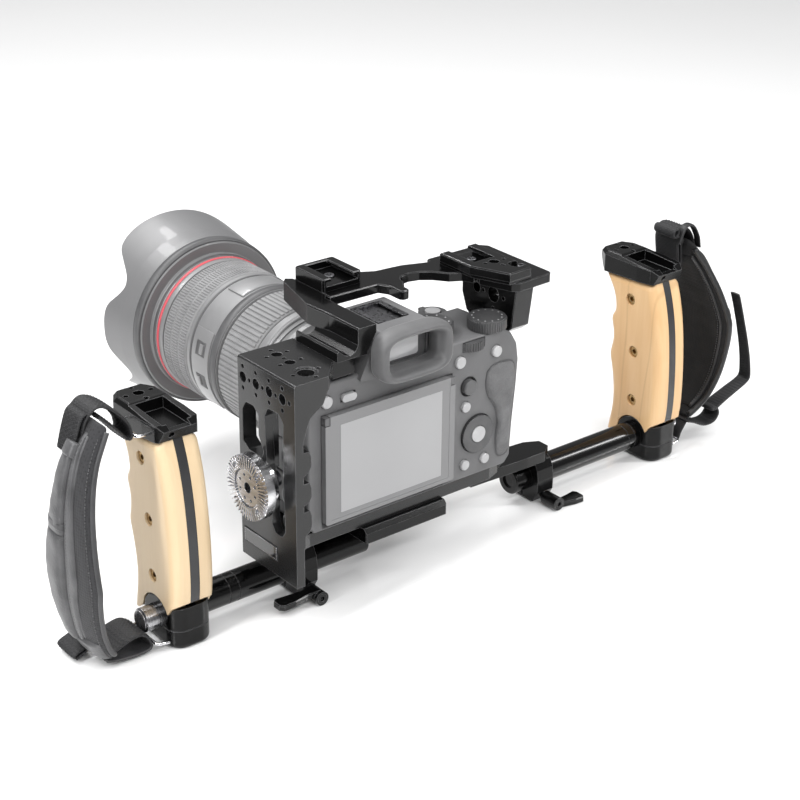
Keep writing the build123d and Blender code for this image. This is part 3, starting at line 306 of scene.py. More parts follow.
def fabric(name, c0, c1, kind="web", scale=1.0, rough=0.8, sheen=0.25):
    """woven or knitted surface: kind web = ribbed webbing, knit = perforated lining, leather = fine leather grain"""
    mt, nt, b = new_mat(name)
    v = coords(nt)
    n1 = noise(nt, v, 90 * scale, 4)
    col = ramp(nt, n1, [(0.3, c0), (0.7, c1)])
    if kind == "leather":
        vo = nt.nodes.new("ShaderNodeTexVoronoi")
        vo.feature = "DISTANCE_TO_EDGE"
        vo.inputs["Scale"].default_value = 620 * scale
        nt.links.new(v, vo.inputs["Vector"])
        crease = noise(nt, v, 240, 5, 0.6, 0.4)
        h = nt.nodes.new("ShaderNodeMath")
        h.operation = "MULTIPLY_ADD"
        nt.links.new(vo.outputs["Distance"], h.inputs[0])
        h.inputs[1].default_value = 1.4
        nt.links.new(crease, h.inputs[2])
        hh = h.outputs[0]
        col = mixc(nt, mrange(nt, noise(nt, v, 22, 4), 0.5, 0.72, 0.0, 0.5), col, tuple(min(1, q * 1.55) for q in c1))
        bd, bs = 0.00022, 0.5
    elif kind == "knit":
        vo = nt.nodes.new("ShaderNodeTexVoronoi")
        vo.inputs["Scale"].default_value = 700 * scale
        vo.inputs["Randomness"].default_value = 0.25
        nt.links.new(v, vo.inputs["Vector"])
        hh = vo.outputs["Distance"]
        col = mixc(nt, mrange(nt, hh, 0.1, 0.42, 0.0, 0.8), tuple(q * 0.35 for q in c0), col)
        bd, bs = 0.00035, 0.7
    else:
        w1 = nt.nodes.new("ShaderNodeTexWave")
        w1.inputs["Scale"].default_value = 420 * scale
        w1.bands_direction = "Z"
        nt.links.new(v, w1.inputs["Vector"])
        w2 = nt.nodes.new("ShaderNodeTexWave")
        w2.inputs["Scale"].default_value = 300 * scale
        w2.bands_direction = "Y"
        nt.links.new(v, w2.inputs["Vector"])
        mm = nt.nodes.new("ShaderNodeMath")
        mm.operation = "MULTIPLY"
        nt.links.new(w1.outputs["Fac"], mm.inputs[0])
        nt.links.new(w2.outputs["Fac"], mm.inputs[1])
        hh = mm.outputs[0]
        # painted highlight: the tops of the ribs are lightened
        col = mixc(nt, mrange(nt, hh, 0.0, 0.8, 0.0, 0.7), col, tuple(min(1, q * 3.4) for q in c1))
        bd, bs = 0.0003, 0.7
    nt.links.new(col, b.inputs["Base Color"])
    nt.links.new(mrange(nt, n1, 0.3, 0.7, rough * 0.9, min(1, rough * 1.1)), b.inputs["Roughness"])
    b.inputs["Sheen Weight"].default_value = sheen
    b.inputs["Sheen Roughness"].default_value = 0.5
    nt.links.new(bump(nt, hh, bs, bd), b.inputs["Normal"])
    return mt


def glass_like(name, base, rough=0.06, coat=1.0, spec=0.6):
    mt, nt, b = new_mat(name)
    v = coords(nt)
    nt.links.new(ramp(nt, noise(nt, v, 14, 2), [(0.3, tuple(q * 0.93 for q in base)), (0.7, base)]), b.inputs["Base Color"])
    nt.links.new(mrange(nt, noise(nt, v, 60, 3), 0.3, 0.7, rough * 0.98, rough * 1.05), b.inputs["Roughness"])
    b.inputs["Coat Weight"].default_value = coat
    b.inputs["Coat Roughness"].default_value = 0.03
    b.inputs["Specular IOR Level"].default_value = spec
    return mt


M = {}
M["black"] = metal_black("anodised_black", base=0.0025, rough=0.15, metallic=0.0, coat=0.0, spec=0.3, bev=0.0007)
# cage body: a lighter copy of the black anodised finish, painted light for its brightly lit left face
M["panel"] = metal_black("anodised_black_painted_lit", base=0.010, rough=0.24, metallic=0.0, coat=0.0, spec=0.5, bev=0.0007)
M["handle"] = metal_black("handle_black", base=0.0022, rough=0.22, metallic=0.0, coat=0.0, spec=0.22, bev=0.0007)
M["rod"] = metal_black("rod_gloss", base=0.0018, rough=0.12, metallic=0.0, coat=0.0, bev=0.0003, spec=0.4)
M["lever"] = metal_black("lever_gloss", base=0.0022, rough=0.15, metallic=0.0, coat=0.0, spec=0.35, bev=0.0006)
M["steel"] = steel("machined_steel", (0.55, 0.55, 0.56), (0.86, 0.86, 0.88), 0.2)
M["brushed"] = steel("brushed_button", (0.30, 0.30, 0.31), (0.55, 0.55, 0.57), 0.24, (900, 30, 30), 0.5)
M["chrome"] = steel("polished_wire", (0.75, 0.75, 0.77), (0.9, 0.9, 0.92), 0.07, (30, 30, 30), 0.0)
M["screw"] = steel("dark_screw", (0.10, 0.10, 0.105), (0.2, 0.2, 0.21), 0.3, (200, 200, 200), 0.0)
M["enamel"] = glass_like("badge_enamel", (0.012, 0.012, 0.013), 0.1, 0.6)
M["brass"] = steel("aged_brass", (0.22, 0.14, 0.06), (0.50, 0.34, 0.16), 0.34, (300, 300, 300), 0.0)
M["mapleL"] = maple("maple_pale", (0.76, 0.60, 0.39), (0.71, 0.545, 0.34), (0.60, 0.43, 0.25), 0.0)
M["mapleR"] = maple("maple_gold", (0.74, 0.505, 0.27), (0.68, 0.435, 0.215), (0.55, 0.31, 0.13), 0.2)
M["core"] = plastic("core_strip", (0.018, 0.018, 0.019), (0.03, 0.03, 0.032), 0.35, 50, 900, 0.15, 0.00005)
M["body"] = plastic("camera_shell", (0.105, 0.105, 0.107), (0.13, 0.13, 0.133), 0.5, 70, 1600, 0.25, 0.00007)
M["leatherette"] = plastic("camera_leatherette", (0.10, 0.10, 0.102), (0.15, 0.15, 0.153), 0.62, 110, 900, 0.8, 0.0003, bev=0, vor=True)
M["rubber"] = plastic("eyecup_rubber", (0.075, 0.075, 0.077), (0.10, 0.10, 0.102), 0.5, 60, 1300, 0.25, 0.00006, sheen=0.15)
M["dial"] = plastic("knurled_dial", (0.06, 0.06, 0.062), (0.10, 0.10, 0.102), 0.38, 90, 1500, 0.2, 0.00005, metallic=0.3)
M["knob"] = plastic("port_knob", (0.02, 0.02, 0.021), (0.04, 0.04, 0.042), 0.35, 90, 1500, 0.2, 0.00005, coat=0.1)
M["button"] = plastic("button_face", (0.36, 0.36, 0.365), (0.46, 0.46, 0.465), 0.35, 120, 1500, 0.1, 0.00004, coat=0.2)
M["bezel"] = glass_like("screen_bezel", (0.20, 0.20, 0.203), 0.2, 0.2, 0.4)
M["display"] = glass_like("screen_display", (0.36, 0.36, 0.365), 0.2, 0.15, 0.3)
M["window"] = glass_like("finder_window", (0.42, 0.42, 0.43), 0.08)
M["lensm"] = plastic("lens_barrel", (0.17, 0.17, 0.173), (0.22, 0.22, 0.223), 0.34, 40, 1500, 0.15, 0.00005, coat=0.15, metallic=0.1)
M["lensr"] = plastic("lens_rubber", (0.17, 0.17, 0.173), (0.23, 0.23, 0.233), 0.5, 70, 1500, 0.2, 0.00006)
M["lensd"] = plastic("lens_dark_band", (0.06, 0.06, 0.062), (0.085, 0.085, 0.087), 0.45, 70, 1500, 0.15, 0.00005)
M["hood"] = plastic("hood_plastic", (0.12, 0.12, 0.122), (0.15, 0.15, 0.153), 0.36, 14, 1800, 0.2, 0.00006, coat=0.1)
M["red"] = plastic("red_ring", (0.50, 0.055, 0.075), (0.62, 0.09, 0.11), 0.35, 60, 1500, 0.1, 0.00004, coat=0.3)
M["glass"] = glass_like("front_glass", (0.05, 0.055, 0.075), 0.04)
M["leather"] = fabric("strap_leather", (0.034, 0.034, 0.036), (0.075, 0.075, 0.078), "leather", rough=0.4, sheen=0.05)
M["lining"] = fabric("strap_lining", (0.016, 0.016, 0.018), (0.03, 0.03, 0.033), "knit", rough=0.85, sheen=0.1)
M["neoprene"] = fabric("strap_neoprene", (0.0025, 0.0025, 0.003), (0.005, 0.005, 0.0055), "knit", 1.2, rough=0.95, sheen=0.0)
M["binding"] = fabric("strap_binding", (0.02, 0.02, 0.022), (0.035, 0.035, 0.037), "leather", 1.4, rough=0.5, sheen=0.1)
M["bindblk"] = fabric("binding_black", (0.004, 0.004, 0.0045), (0.009, 0.009, 0.010), "leather", 1.4, rough=0.45, sheen=0.03)
M["web"] = fabric("webbing_black", (0.003, 0.003, 0.0035), (0.008, 0.008, 0.009), "web", rough=0.6, sheen=0.03)
M["thread"] = fabric("stitch_thread", (0.02, 0.02, 0.021), (0.04, 0.04, 0.042), "web", 2.0, rough=0.7)


def paint(name, key):
    o = N[name]
    if not o.material_slots:
        o.data.materials.append(M[key])
    for s in o.material_slots:
        s.material = M[key]


for k, names in {
    "black": ["badge_plate", "left_tower", "top_bridge", "cold_shoe_left", "shoe_block_right", "right_wing", "base_dovetail", "rod_clamp_left", "rod_clamp_right"],
    "panel": ["cage_body"],
    "handle": ["handle_base_left", "handle_base_right", "top_cap_left", "top_cap_right"],
    "rod": ["rod_left", "rod_right"], "lever": ["clamp_lever_left", "clamp_lever_right"], "steel": ["rosette"], "screw": ["cage_screws", "hot_shoe"],
    "brushed": ["release_button_left", "release_button_right"], "chrome": ["strap_bails_left", "strap_bails_right"],
    "brass": ["grip_screws_left", "grip_screws_right"], "mapleL": ["grip_scales_left"], "mapleR": ["grip_scales_right"], "core": ["grip_core_left", "grip_core_right"],
    "body": ["camera_body", "lcd_arm"], "rubber": ["evf_eyecup", "port_covers", "joystick"], "window": ["finder_window"], "bezel": ["lcd_panel"],
    "dial": ["mode_dial", "exposure_dial", "thumb_dial", "control_wheel", "power_switch"],
    "button": ["select_button", "shutter_button", "c3_button", "menu_button", "afon_button", "ael_button", "fn_button", "play_button", "delete_button"],
    "lensm": ["mount_adapter", "lens_barrel"], "lensr": ["zoom_ring", "focus_ring"], "hood": ["lens_hood"], "glass": ["front_element"],
    "leather": ["hand_strap_left"], "neoprene": ["hand_strap_right"],
}.items():
    for nm in names:
        paint(nm, k)


# ------------------------------------------------------------------ mesh helpers
def make(name, verts, faces, mat, body, smooth=True, sub=0, bevelw=0.0):
    me = bpy.data.meshes.new(name)
    me.from_pydata([tuple(v) for v in verts], [], faces)
    bm = bmesh.new()
    bm.from_mesh(me)
    bmesh.ops.recalc_face_normals(bm, faces=bm.faces)
    bm.to_mesh(me)
    bm.free()
    me.materials.append(M[mat])
    if smooth:
        me.polygons.foreach_set("use_smooth", [True] * len(me.polygons))
    o = bpy.data.objects.new(name, me)
    bpy.context.scene.collection.objects.link(o)
    if bevelw:
        bv = o.modifiers.new("bev", "BEVEL")
        bv.width = bevelw
        bv.segments = 3
        bv.limit_method = "ANGLE"
        bv.angle_limit = math.radians(35)
    if sub:
        s = o.modifiers.new("sub", "SUBSURF")
        s.levels = s.render_levels = sub
    if body:
        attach(o, body)
    return o


def catmull(pts, n):
    """n points evenly along a smooth curve through pts (tuples of any length)"""
    P = [tuple(2 * a - b for a, b in zip(pts[0], pts[1]))] + list(pts) + [tuple(2 * a - b for a, b in zip(pts[-1], pts[-2]))]
    fine = []
    for i in range(1, len(P) - 2):
        for k in range(24):
            t = k / 24
            q = []
            for c in range(len(P[0])):
                p0, p1, p2, p3 = (P[i - 1][c], P[i][c], P[i + 1][c], P[i + 2][c])
                q.append(0.5 * ((2 * p1) + (-p0 + p2) * t + (2 * p0 - 5 * p1 + 4 * p2 - p3) * t * t + (-p0 + 3 * p1 - 3 * p2 + p3) * t ** 3))
            fine.append(tuple(q))
    fine.append(tuple(pts[-1]))
    L = [0]
    for a, b in zip(fine, fine[1:]):
        L.append(L[-1] + math.dist(a, b))
    out = []
    j = 0
    for k in range(n):
        s = L[-1] * k / (n - 1)
        while j < len(L) - 2 and L[j + 1] < s:
            j += 1
        t = (s - L[j]) / max(1e-9, L[j + 1] - L[j])
        out.append(tuple(a + (b - a) * t for a, b in zip(fine[j], fine[j + 1])))
    return out


def tube(name, pts, rad, mat, body, seg=10, closed=False, smoothn=0):
    """round tube along fit-frame points"""
    if smoothn:
        pts = catmull(pts, smoothn)
    vs, fs = [], []
    n = len(pts)
    P = [Vector(p) for p in pts]
    up = Vector((0, 1, 0.3)).normalized()
    for i in range(n):
        a = P[(i - 1) % n] if closed else P[max(i - 1, 0)]
        b = P[(i + 1) % n] if closed else P[min(i + 1, n - 1)]
        t = (b - a).normalized()
        x = t.cross(up)
        if x.length < 1e-3:
            x = t.cross(Vector((1, 0, 0)))
        x.normalize()
        y = t.cross(x)
        rad_i = rad[i] if isinstance(rad, list) else rad
        for k in range(seg):
            an = 2 * math.pi * k / seg
            vs.append(W(P[i] + x * math.cos(an) * rad_i + y * math.sin(an) * rad_i))
    m_ = n if closed else n - 1
    for i in range(m_):
        for k in range(seg):
            i2 = (i + 1) % n
            fs.append((i * seg + k, i * seg + (k + 1) % seg, i2 * seg + (k + 1) % seg, i2 * seg + k))
    if not closed:
        fs.append(tuple(range(seg)))
        fs.append(tuple((n - 1) * seg + k for k in range(seg)))
    return make(name, vs, fs, mat, body)


def webbing(name, line, y0, y1, t, mat, body, n=120, rib=0.22, pitch=1.9, edge=0.0, ys=None):
    n = int(n * 1.6)
    rib = rib * 1.35 + 0.22
    """flat woven tape along (x, z) points in the fit frame; width runs along Y; real cross ribs and rolled edges"""
    L = catmull(line, n)
    if ys:
        YS = catmull(ys, n)
    tot = sum(math.dist(a, b) for a, b in zip(L, L[1:]))
    across = 18
    vs, fs = [], []
    for i, (x, z) in enumerate(L):
        a, b = L[max(i - 1, 0)], L[min(i + 1, n - 1)]
        dx, dz = b[0] - a[0], b[1] - a[1]
        l = math.hypot(dx, dz)
        nx, nz = -dz / l, dx / l
        s = tot * i / (n - 1)
        ya, yb = (YS[i] if ys else (y0, y1))
        ring = []
        for side in (1, -1):
            for k in range(across + 1):
                v = k / across if side == 1 else 1 - k / across
                e = 1 - abs(2 * v - 1) ** 6
                ph = math.cos(2 * math.pi * (s / pitch + 0.5 * (k % 2)))
                h = side * (t / 2 * (0.35 + 0.65 * e) + rib * 0.5 * ph * e)
                ring.append((x + nx * h, ya + (yb - ya) * v, z + nz * h))
        vs += [W(p) for p in ring]
    R = 2 * (across + 1)
    for i in range(n - 1):
        for k in range(R):
            fs.append((i * R + k, i * R + (k + 1) % R, (i + 1) * R + (k + 1) % R, (i + 1) * R + k))
    fs.append(tuple(range(R)))
    fs.append(tuple((n - 1) * R + k for k in range(R)))
    return make(name, vs, fs, mat, body)


class Pad:
    """surface of a padded strap: u along its length, v across it (0 rear, 1 front), offset outwards from its middle surface"""

    def __init__(self, line, ys, out, bow=2.0, half=3.0, taper=0.12):
        self.n = 160
        self.L = catmull(line, self.n)
        self.Y = catmull(ys, self.n)
        self.out, self.bow, self.half, self.taper = out, bow, half, taper

    def frame(self, u):
        f = max(0.0, min(1.0, u)) * (self.n - 1)
        i = min(int(f), self.n - 2)
        t = f - i
        p = [a + (b - a) * t for a, b in zip(self.L[i], self.L[i + 1])]
        y = [a + (b - a) * t for a, b in zip(self.Y[i], self.Y[i + 1])]
        j0, j1 = max(i - 2, 0), min(i + 3, self.n - 1)
        dx, dz = self.L[j1][0] - self.L[j0][0], self.L[j1][1] - self.L[j0][1]
        l = math.hypot(dx, dz)
        nx, nz = -dz / l, dx / l
        if nx * self.out < 0:
            nx, nz = -nx, -nz
        return p, y, (nx, nz)

    def h(self, u, v):
        e = max(0.0, 1 - abs(2 * v - 1) ** 3.2) ** 0.5
        g = min(1.0, u / self.taper, (1 - u) / self.taper)
        g = max(0.0, g)
        g = 0.6 + 0.4 * math.sin(g * math.pi / 2)
        return self.half * (0.42 + 0.58 * e) * g

    def at(self, u, v, off):
        p, y, nr = self.frame(u)
        w = 2 * v - 1
        o = off + self.bow * (1 - w * w)
        return Vector((p[0] + nr[0] * o, y[0] + (y[1] - y[0]) * v, p[1] + nr[1] * o))

    def solid(self, name, mat, body, nu=96, nv=26, wav=0.0, push=None):
        vs, fs = [], []
        for i in range(nu + 1):
            u_ = i / nu
            for side in (1, -1):
                for k in range(nv + 1):
                    v_ = k / nv if side == 1 else 1 - k / nv
                    hh = self.h(u_, v_) * side
                    if wav:
                        hh += wav * math.sin(u_ * 23 + 3 * v_) * math.sin(v_ * 9 + u_ * 5) * (1 - abs(2 * v_ - 1))
                    if push:
                        hh += push(u_, v_, side)
                    vs.append(W(self.at(u_, v_, hh)))
        R = 2 * (nv + 1)
        for i in range(nu):
            for k in range(R):
                fs.append((i * R + k, i * R + (k + 1) % R, (i + 1) * R + (k + 1) % R, (i + 1) * R + k))
        fs.append(tuple(range(R)))
        fs.append(tuple(nu * R + k for k in range(R)))
        return make(name, vs, fs, mat, body)

    def patch(self, name, mat, body, u0, u1, v0, v1, off, thick, nu=48, nv=16, crown=1.0, edge=0.35, side=1, wrink=0.0, shape=None):
        """closed cushioned patch that lies on the pad's outer (side 1) or inner (side -1) face"""
        vs, fs = [], []
        for i in range(nu + 1):
            a = i / nu
            u_ = u0 + (u1 - u0) * a
            va, vb = v0, v1
            if shape:
                va, vb = shape(a)
            for top in (1, 0):
                for k in range(nv + 1):
                    b_ = k / nv if top else 1 - k / nv
                    v_ = va + (vb - va) * b_
                    base = self.h(u_, min(1, max(0, v_))) * side
                    e = (1 - abs(2 * b_ - 1) ** 4) * (1 - abs(2 * a - 1) ** 14)
                    o_ = base + side * off
                    if top:
                        o_ += side * (thick * edge + thick * (1 - edge) * max(0, e) ** 0.5 + crown * max(0, e) ** 0.8)
                        if wrink:
                            o_ += side * wrink * (math.sin(a * 17 + b_ * 4) * 0.5 + math.sin(a * 41 - b_ * 7) * 0.25) * max(0, e)
                    vs.append(W(self.at(u_, v_, o_)))
        R = 2 * (nv + 1)
        for i in range(nu):
            for k in range(R):
                fs.append((i * R + k, i * R + (k + 1) % R, (i + 1) * R + (k + 1) % R, (i + 1) * R + k))
        fs.append(tuple(range(R)))
        fs.append(tuple(nu * R + k for k in range(R)))
        return make(name, vs, fs, mat, body)

    def edge(self, name, mat, body, v, rad, u0=0.0, u1=1.0, off=0.0, n=90, both=False):
        pts = []
        for i in range(n):
            u_ = u0 + (u1 - u0) * i / (n - 1)
            pts.append(tuple(self.at(u_, v, off)))
        return tube(name, pts, rad, mat, body, 10)

    def stitches(self, name, mat, body, v, off, u0, u1, count, ln=1.6, rad=0.28, side=1):
        vs, fs = [], []
        for i in range(count):
            uc = u0 + (u1 - u0) * (i + 0.5) / count
            du = (u1 - u0) / count * 0.32
            a = self.at(uc - du, v, side * self.h(uc, v) + side * off)
            b = self.at(uc + du, v, side * self.h(uc, v) + side * off)
            t = (b - a).normalized()
            x = t.cross(Vector((0, 1, 0))).normalized()
            y = t.cross(x)
            base = len(vs)
            for (c, rr_) in ((a, 0.45), (a.lerp(b, 0.25), 1.0), (a.lerp(b, 0.75), 1.0), (b, 0.45)):
                for k in range(6):
                    an = math.pi * 2 * k / 6
                    vs.append(W(c + (x * math.cos(an) + y * math.sin(an)) * rad * rr_))
            for s_ in range(3):
                for k in range(6):
                    fs.append((base + s_ * 6 + k, base + s_ * 6 + (k + 1) % 6, base + (s_ + 1) * 6 + (k + 1) % 6, base + (s_ + 1) * 6 + k))
            fs.append(tuple(base + k for k in range(6)))
            fs.append(tuple(base + 18 + k for k in range(6)))
        return make(name, vs, fs, mat, body)


def inflate(o, voxel=0.0013, cap=0.0012, pressure=4.0):
    """pad swollen by cloth simulation, capped, then smoothed"""
    bpy.context.view_layer.update()
    me = o.data.copy()
    src = bpy.data.objects.new(o.name + "_sim", me)
    bpy.context.scene.collection.objects.link(src)
    rm = src.modifiers.new("rm", "REMESH")
    rm.mode = "VOXEL"
    rm.voxel_size = voxel
    dg = bpy.context.evaluated_depsgraph_get()
    me2 = bpy.data.meshes.new_from_object(src.evaluated_get(dg))
    bpy.data.objects.remove(src)
    sim = bpy.data.objects.new(o.name + "_cloth", me2)
    bpy.context.scene.collection.objects.link(sim)
    rest = [v.co.copy() for v in me2.vertices]
    c = sim.modifiers.new("cloth", "CLOTH")
    c.settings.use_pressure = True
    c.settings.uniform_pressure_force = pressure
    c.settings.effector_weights.gravity = 0
    c.settings.tension_stiffness = 20
    c.settings.compression_stiffness = 20
    c.settings.bending_stiffness = 0.4
    c.settings.quality = 5
    sc = bpy.context.scene
    for f in range(1, 16):
        sc.frame_set(f)
    dg = bpy.context.evaluated_depsgraph_get()
    me3 = bpy.data.meshes.new_from_object(sim.evaluated_get(dg))
    bpy.data.objects.remove(sim)
    sc.frame_set(1)
    for v, r0 in zip(me3.vertices, rest):
        dv = v.co - r0
        if dv.length > cap:
            v.co = r0 + dv.normalized() * cap
    mats = list(o.data.materials)
    old = o.data
    o.data = me3
    o.data.materials.clear()
    for mm in mats:
        o.data.materials.append(mm)
    me3.polygons.foreach_set("use_smooth", [True] * len(me3.polygons))
    me3.polygons.foreach_set("material_index", [0] * len(me3.polygons))
    sm = o.modifiers.new("smooth", "SMOOTH")
    sm.iterations = 4
    sm.factor = 0.5
    s = o.modifiers.new("sub", "SUBSURF")
    s.levels = s.render_levels = 1
    bpy.data.meshes.remove(old)
    return o


# ------------------------------------------------------------------ LEFT STRAP
XL, XR = -110.3, 224.3


def PL(d_, z):
    return (XL - d_, z)


def PR(d_, z):
    return (XR + d_, z)


HB = "left_handle"
lp = Pad([PL(22.5, 80.0), PL(26.0, 74.0), PL(31.2, 64.0), PL(34.8, 52.0), PL(37.2, 36.0), PL(38.0, 18.0), PL(37.4, 0.0), PL(34.8, -16.0), PL(31.0, -27.0), PL(27.5, -32.0)],
         [(23.0, 38.0), (16.5, 45.5), (13.5, 49.0), (12.0, 50.8), (11.2, 51.8), (11.0, 52.5), (12.0, 52.0), (14.0, 50.5), (16.5, 48.5), (19.0, 46.0)], -1, bow=1.6, half=3.0)
pad_l = lp.solid("strap_pad_left", "lining", HB, wav=0.12)
inflate(pad_l)
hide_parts("hand_strap_left")
# rear leather binding strip that frames the lining
lp.patch("strap_rear_welt_left", "leather", HB, 0.05, 0.98, 0.34, 0.50, 0.1, 0.9, nu=80, nv=10, crown=0.9, shape=lambda a: (0.40 - 0.10 * math.sin(a * math.pi), 0.52 - 0.02 * math.sin(a * math.pi)))
# leather sleeve over the webbing: upper and lower parts
lp.patch("strap_sleeve_top_left", "leather", HB, 0.13, 0.47, 0.50, 0.985, 0.5, 1.6, nu=60, nv=22, crown=1.6, wrink=0.25, shape=lambda a: (0.52 - 0.03 * a, 0.985))
lp.patch("strap_sleeve_low_left", "leather", HB, 0.44, 0.93, 0.50, 0.985, 0.3, 1.6, nu=70, nv=22, crown=2.4, wrink=0.3, shape=lambda a: (0.50, 0.985 - 0.12 * a * a))
lp.patch("strap_collar_left", "leather", HB, 0.10, 0.155, 0.44, 1.0, 1.3, 1.6, nu=14, nv=22, crown=1.4)
lp.patch("strap_cross_band_left", "binding", HB, 0.405, 0.435, 0.47, 1.0, 1.5, 1.2, nu=10, nv=22, crown=1.0)
lp.patch("strap_cross_band_low_left", "binding", HB, 0.452, 0.472, 0.47, 1.0, 1.2, 1.1, nu=8, nv=22, crown=0.9)
lp.edge("strap_piping_rear_left", "binding", HB, 0.015, 1.25, 0.02, 0.985)
lp.edge("strap_piping_front_left", "bindblk", HB, 0.99, 1.35, 0.05, 0.97, off=0.6)
lp.edge("strap_piping_mid_left", "binding", HB, 0.505, 1.0, 0.10, 0.97, off=3.4)
lp.edge("strap_piping_mid2_left", "leather", HB, 0.36, 0.8, 0.06, 0.97, off=3.0)
lp.stitches("strap_stitch_a_left", "thread", HB, 0.43, 1.75, 0.08, 0.95, 64)
lp.stitches("strap_stitch_b_left", "thread", HB, 0.07, 0.25, 0.05, 0.96, 66)
lp.stitches("strap_stitch_c_left", "thread", HB, 0.93, 2.2, 0.18, 0.90, 48)
# inner comfort panel
lp.patch("strap_inner_panel_left", "lining", HB, 0.06, 0.94, 0.10, 0.90, 0.0, 0.8, nu=60, nv=18, crown=0.8, side=-1)
# webbing: out of the sleeve, over the top, round the wire bail and back to the pad
webbing("webbing_top_left", [PL(33.5, 64.0), PL(31.2, 72.0), PL(28.6, 80.5), PL(23.6, 85.6), PL(18.0, 84.6), PL(11.6, 79.0), PL(7.4, 73.4), PL(6.0, 68.4)], 31.8, 48.2, 1.7, "web", HB, 170)
webbing("webbing_top_return_left", [PL(6.0, 68.4), PL(6.4, 66.4), PL(8.2, 66.3), PL(11.4, 70.0), PL(15.6, 74.8), PL(19.6, 79.0), PL(22.2, 81.0)], 31.8, 48.2, 1.5, "web", HB, 110)
webbing("webbing_keeper_left", [PL(35.4, 66.0), PL(33.2, 74.0), PL(30.4, 81.8), PL(27.6, 84.2)], 32.6, 46.4, 2.2, "web", HB, 90, rib=0.5, pitch=2.2)
# webbing at the foot: from the lower bail into the pad, with its folded free end
webbing("webbing_low_left", [PL(7.6, -35.4), PL(9.4, -31.0), PL(13.4, -28.2), PL(19.0, -28.6), PL(24.6, -30.6), PL(29.6, -31.6)], 21.6, 41.2, 1.9, "web", HB, 120, rib=0.3)
webbing("webbing_low_return_left", [PL(7.4, -35.0), PL(8.6, -37.2), PL(13.0, -37.8), PL(20.0, -37.4), PL(27.0, -36.4), PL(31.0, -35.2)], 21.6, 39.6, 1.7, "binding", HB, 110, rib=0.05)
webbing("webbing_end_left", [PL(27.0, -33.2), PL(31.0, -34.4), PL(35.0, -36.0), PL(39.4, -37.9)], 35.6, 52.4, 1.5, "web", HB, 90, rib=0.35)
webbing("webbing_end_fold_left", [PL(39.4, -37.5), PL(39.9, -36.4), PL(38.4, -35.2), PL(35.2, -34.0), PL(32.4, -32.8)], 35.9, 52.1, 1.5, "web", HB, 80, rib=0.35)
lp.patch("strap_foot_tab_left", "leather", HB, 0.90, 0.995, 0.06, 0.94, 0.3, 1.3, nu=20, nv=22, crown=0.9)

# ------------------------------------------------------------------ RIGHT STRAP
HB = "right_handle"
rp = Pad([PR(9.2, 80.0), PR(12.6, 74.4), PR(18.6, 65.0), PR(25.4, 50.5), PR(30.0, 34.0), PR(31.6, 17.0), PR(30.0, 0.5), PR(24.2, -12.6), PR(16.5, -20.0), PR(12.0, -22.6)],
         [(24.0, 49.0), (19.5, 52.5), (15.5, 55.5), (12.6, 57.5), (11.5, 58.5), (11.5, 58.5), (12.5, 56.0), (15.6, 51.5), (19.0, 46.5), (22.0, 43.0)], 1, bow=1.5, half=2.9)
pad_r = rp.solid("strap_pad_right", "neoprene", HB, wav=0.1)
inflate(pad_r)
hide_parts("hand_strap_right")
rp.patch("strap_inner_panel_right", "neoprene", HB, 0.07, 0.95, 0.12, 0.9, 0.0, 0.9, nu=70, nv=20, crown=1.0, side=-1)
rp.patch("strap_outer_cover_right", "bindblk", HB, 0.08, 0.92, 0.12, 0.88, 0.3, 1.2, nu=60, nv=20, crown=1.4, wrink=0.2)
rp.patch("strap_outer_band_right", "bindblk", HB, 0.40, 0.44, 0.06, 0.94, 1.6, 1.1, nu=10, nv=20, crown=0.8)
rp.edge("strap_piping_rear_right", "bindblk", HB, 0.012, 1.7, 0.02, 0.985)
rp.edge("strap_piping_front_right", "bindblk", HB, 0.988, 1.7, 0.02, 0.985)
rp.edge("strap_piping_in_right", "bindblk", HB, 0.10, 0.8, 0.05, 0.95, off=-3.0)
rp.stitches("strap_stitch_a_right", "binding", HB, 0.135, 1.2, 0.06, 0.94, 66, side=-1)
rp.stitches("strap_stitch_b_right", "binding", HB, 0.90, 0.5, 0.06, 0.94, 60, side=1)
webbing("webbing_top_right", [PR(5.9, 67.0), PR(6.2, 70.4), PR(5.4, 76.0), PR(5.0, 81.6), PR(6.8, 86.6), PR(11.4, 87.6), PR(15.6, 83.4), PR(18.4, 76.4)], 31.4, 48.6, 1.8, "web", HB, 170, rib=0.45, pitch=2.2)
webbing("webbing_top_return_right", [PR(5.9, 67.0), PR(7.4, 66.0), PR(8.8, 68.6), PR(8.6, 74.0), PR(8.2, 79.0), PR(9.4, 82.0)], 31.6, 48.4, 1.5, "web", HB, 110, rib=0.3)
webbing("webbing_roll_right", [PR(2.6, 84.6), PR(4.4, 86.6), PR(3.6, 88.8), PR(1.4, 88.6), PR(0.6, 86.4), PR(2.0, 84.4), PR(5.0, 84.6), PR(9.0, 86.8)], 30.6, 46.0, 1.3, "web", HB, 110, rib=0.2)
webbing("webbing_keeper_right", [PR(4.0, 80.6), PR(8.0, 89.0), PR(13.8, 89.4), PR(18.8, 82.6), PR(20.6, 75.4)], 29.0, 33.4, 1.3, "bindblk", HB, 90, rib=0.05)
webbing("webbing_low_right", [PR(7.6, -35.6), PR(9.0, -32.0), PR(11.6, -28.4), PR(14.0, -25.0), PR(17.0, -21.6)], 22.4, 41.2, 1.9, "web", HB, 110, rib=0.35)
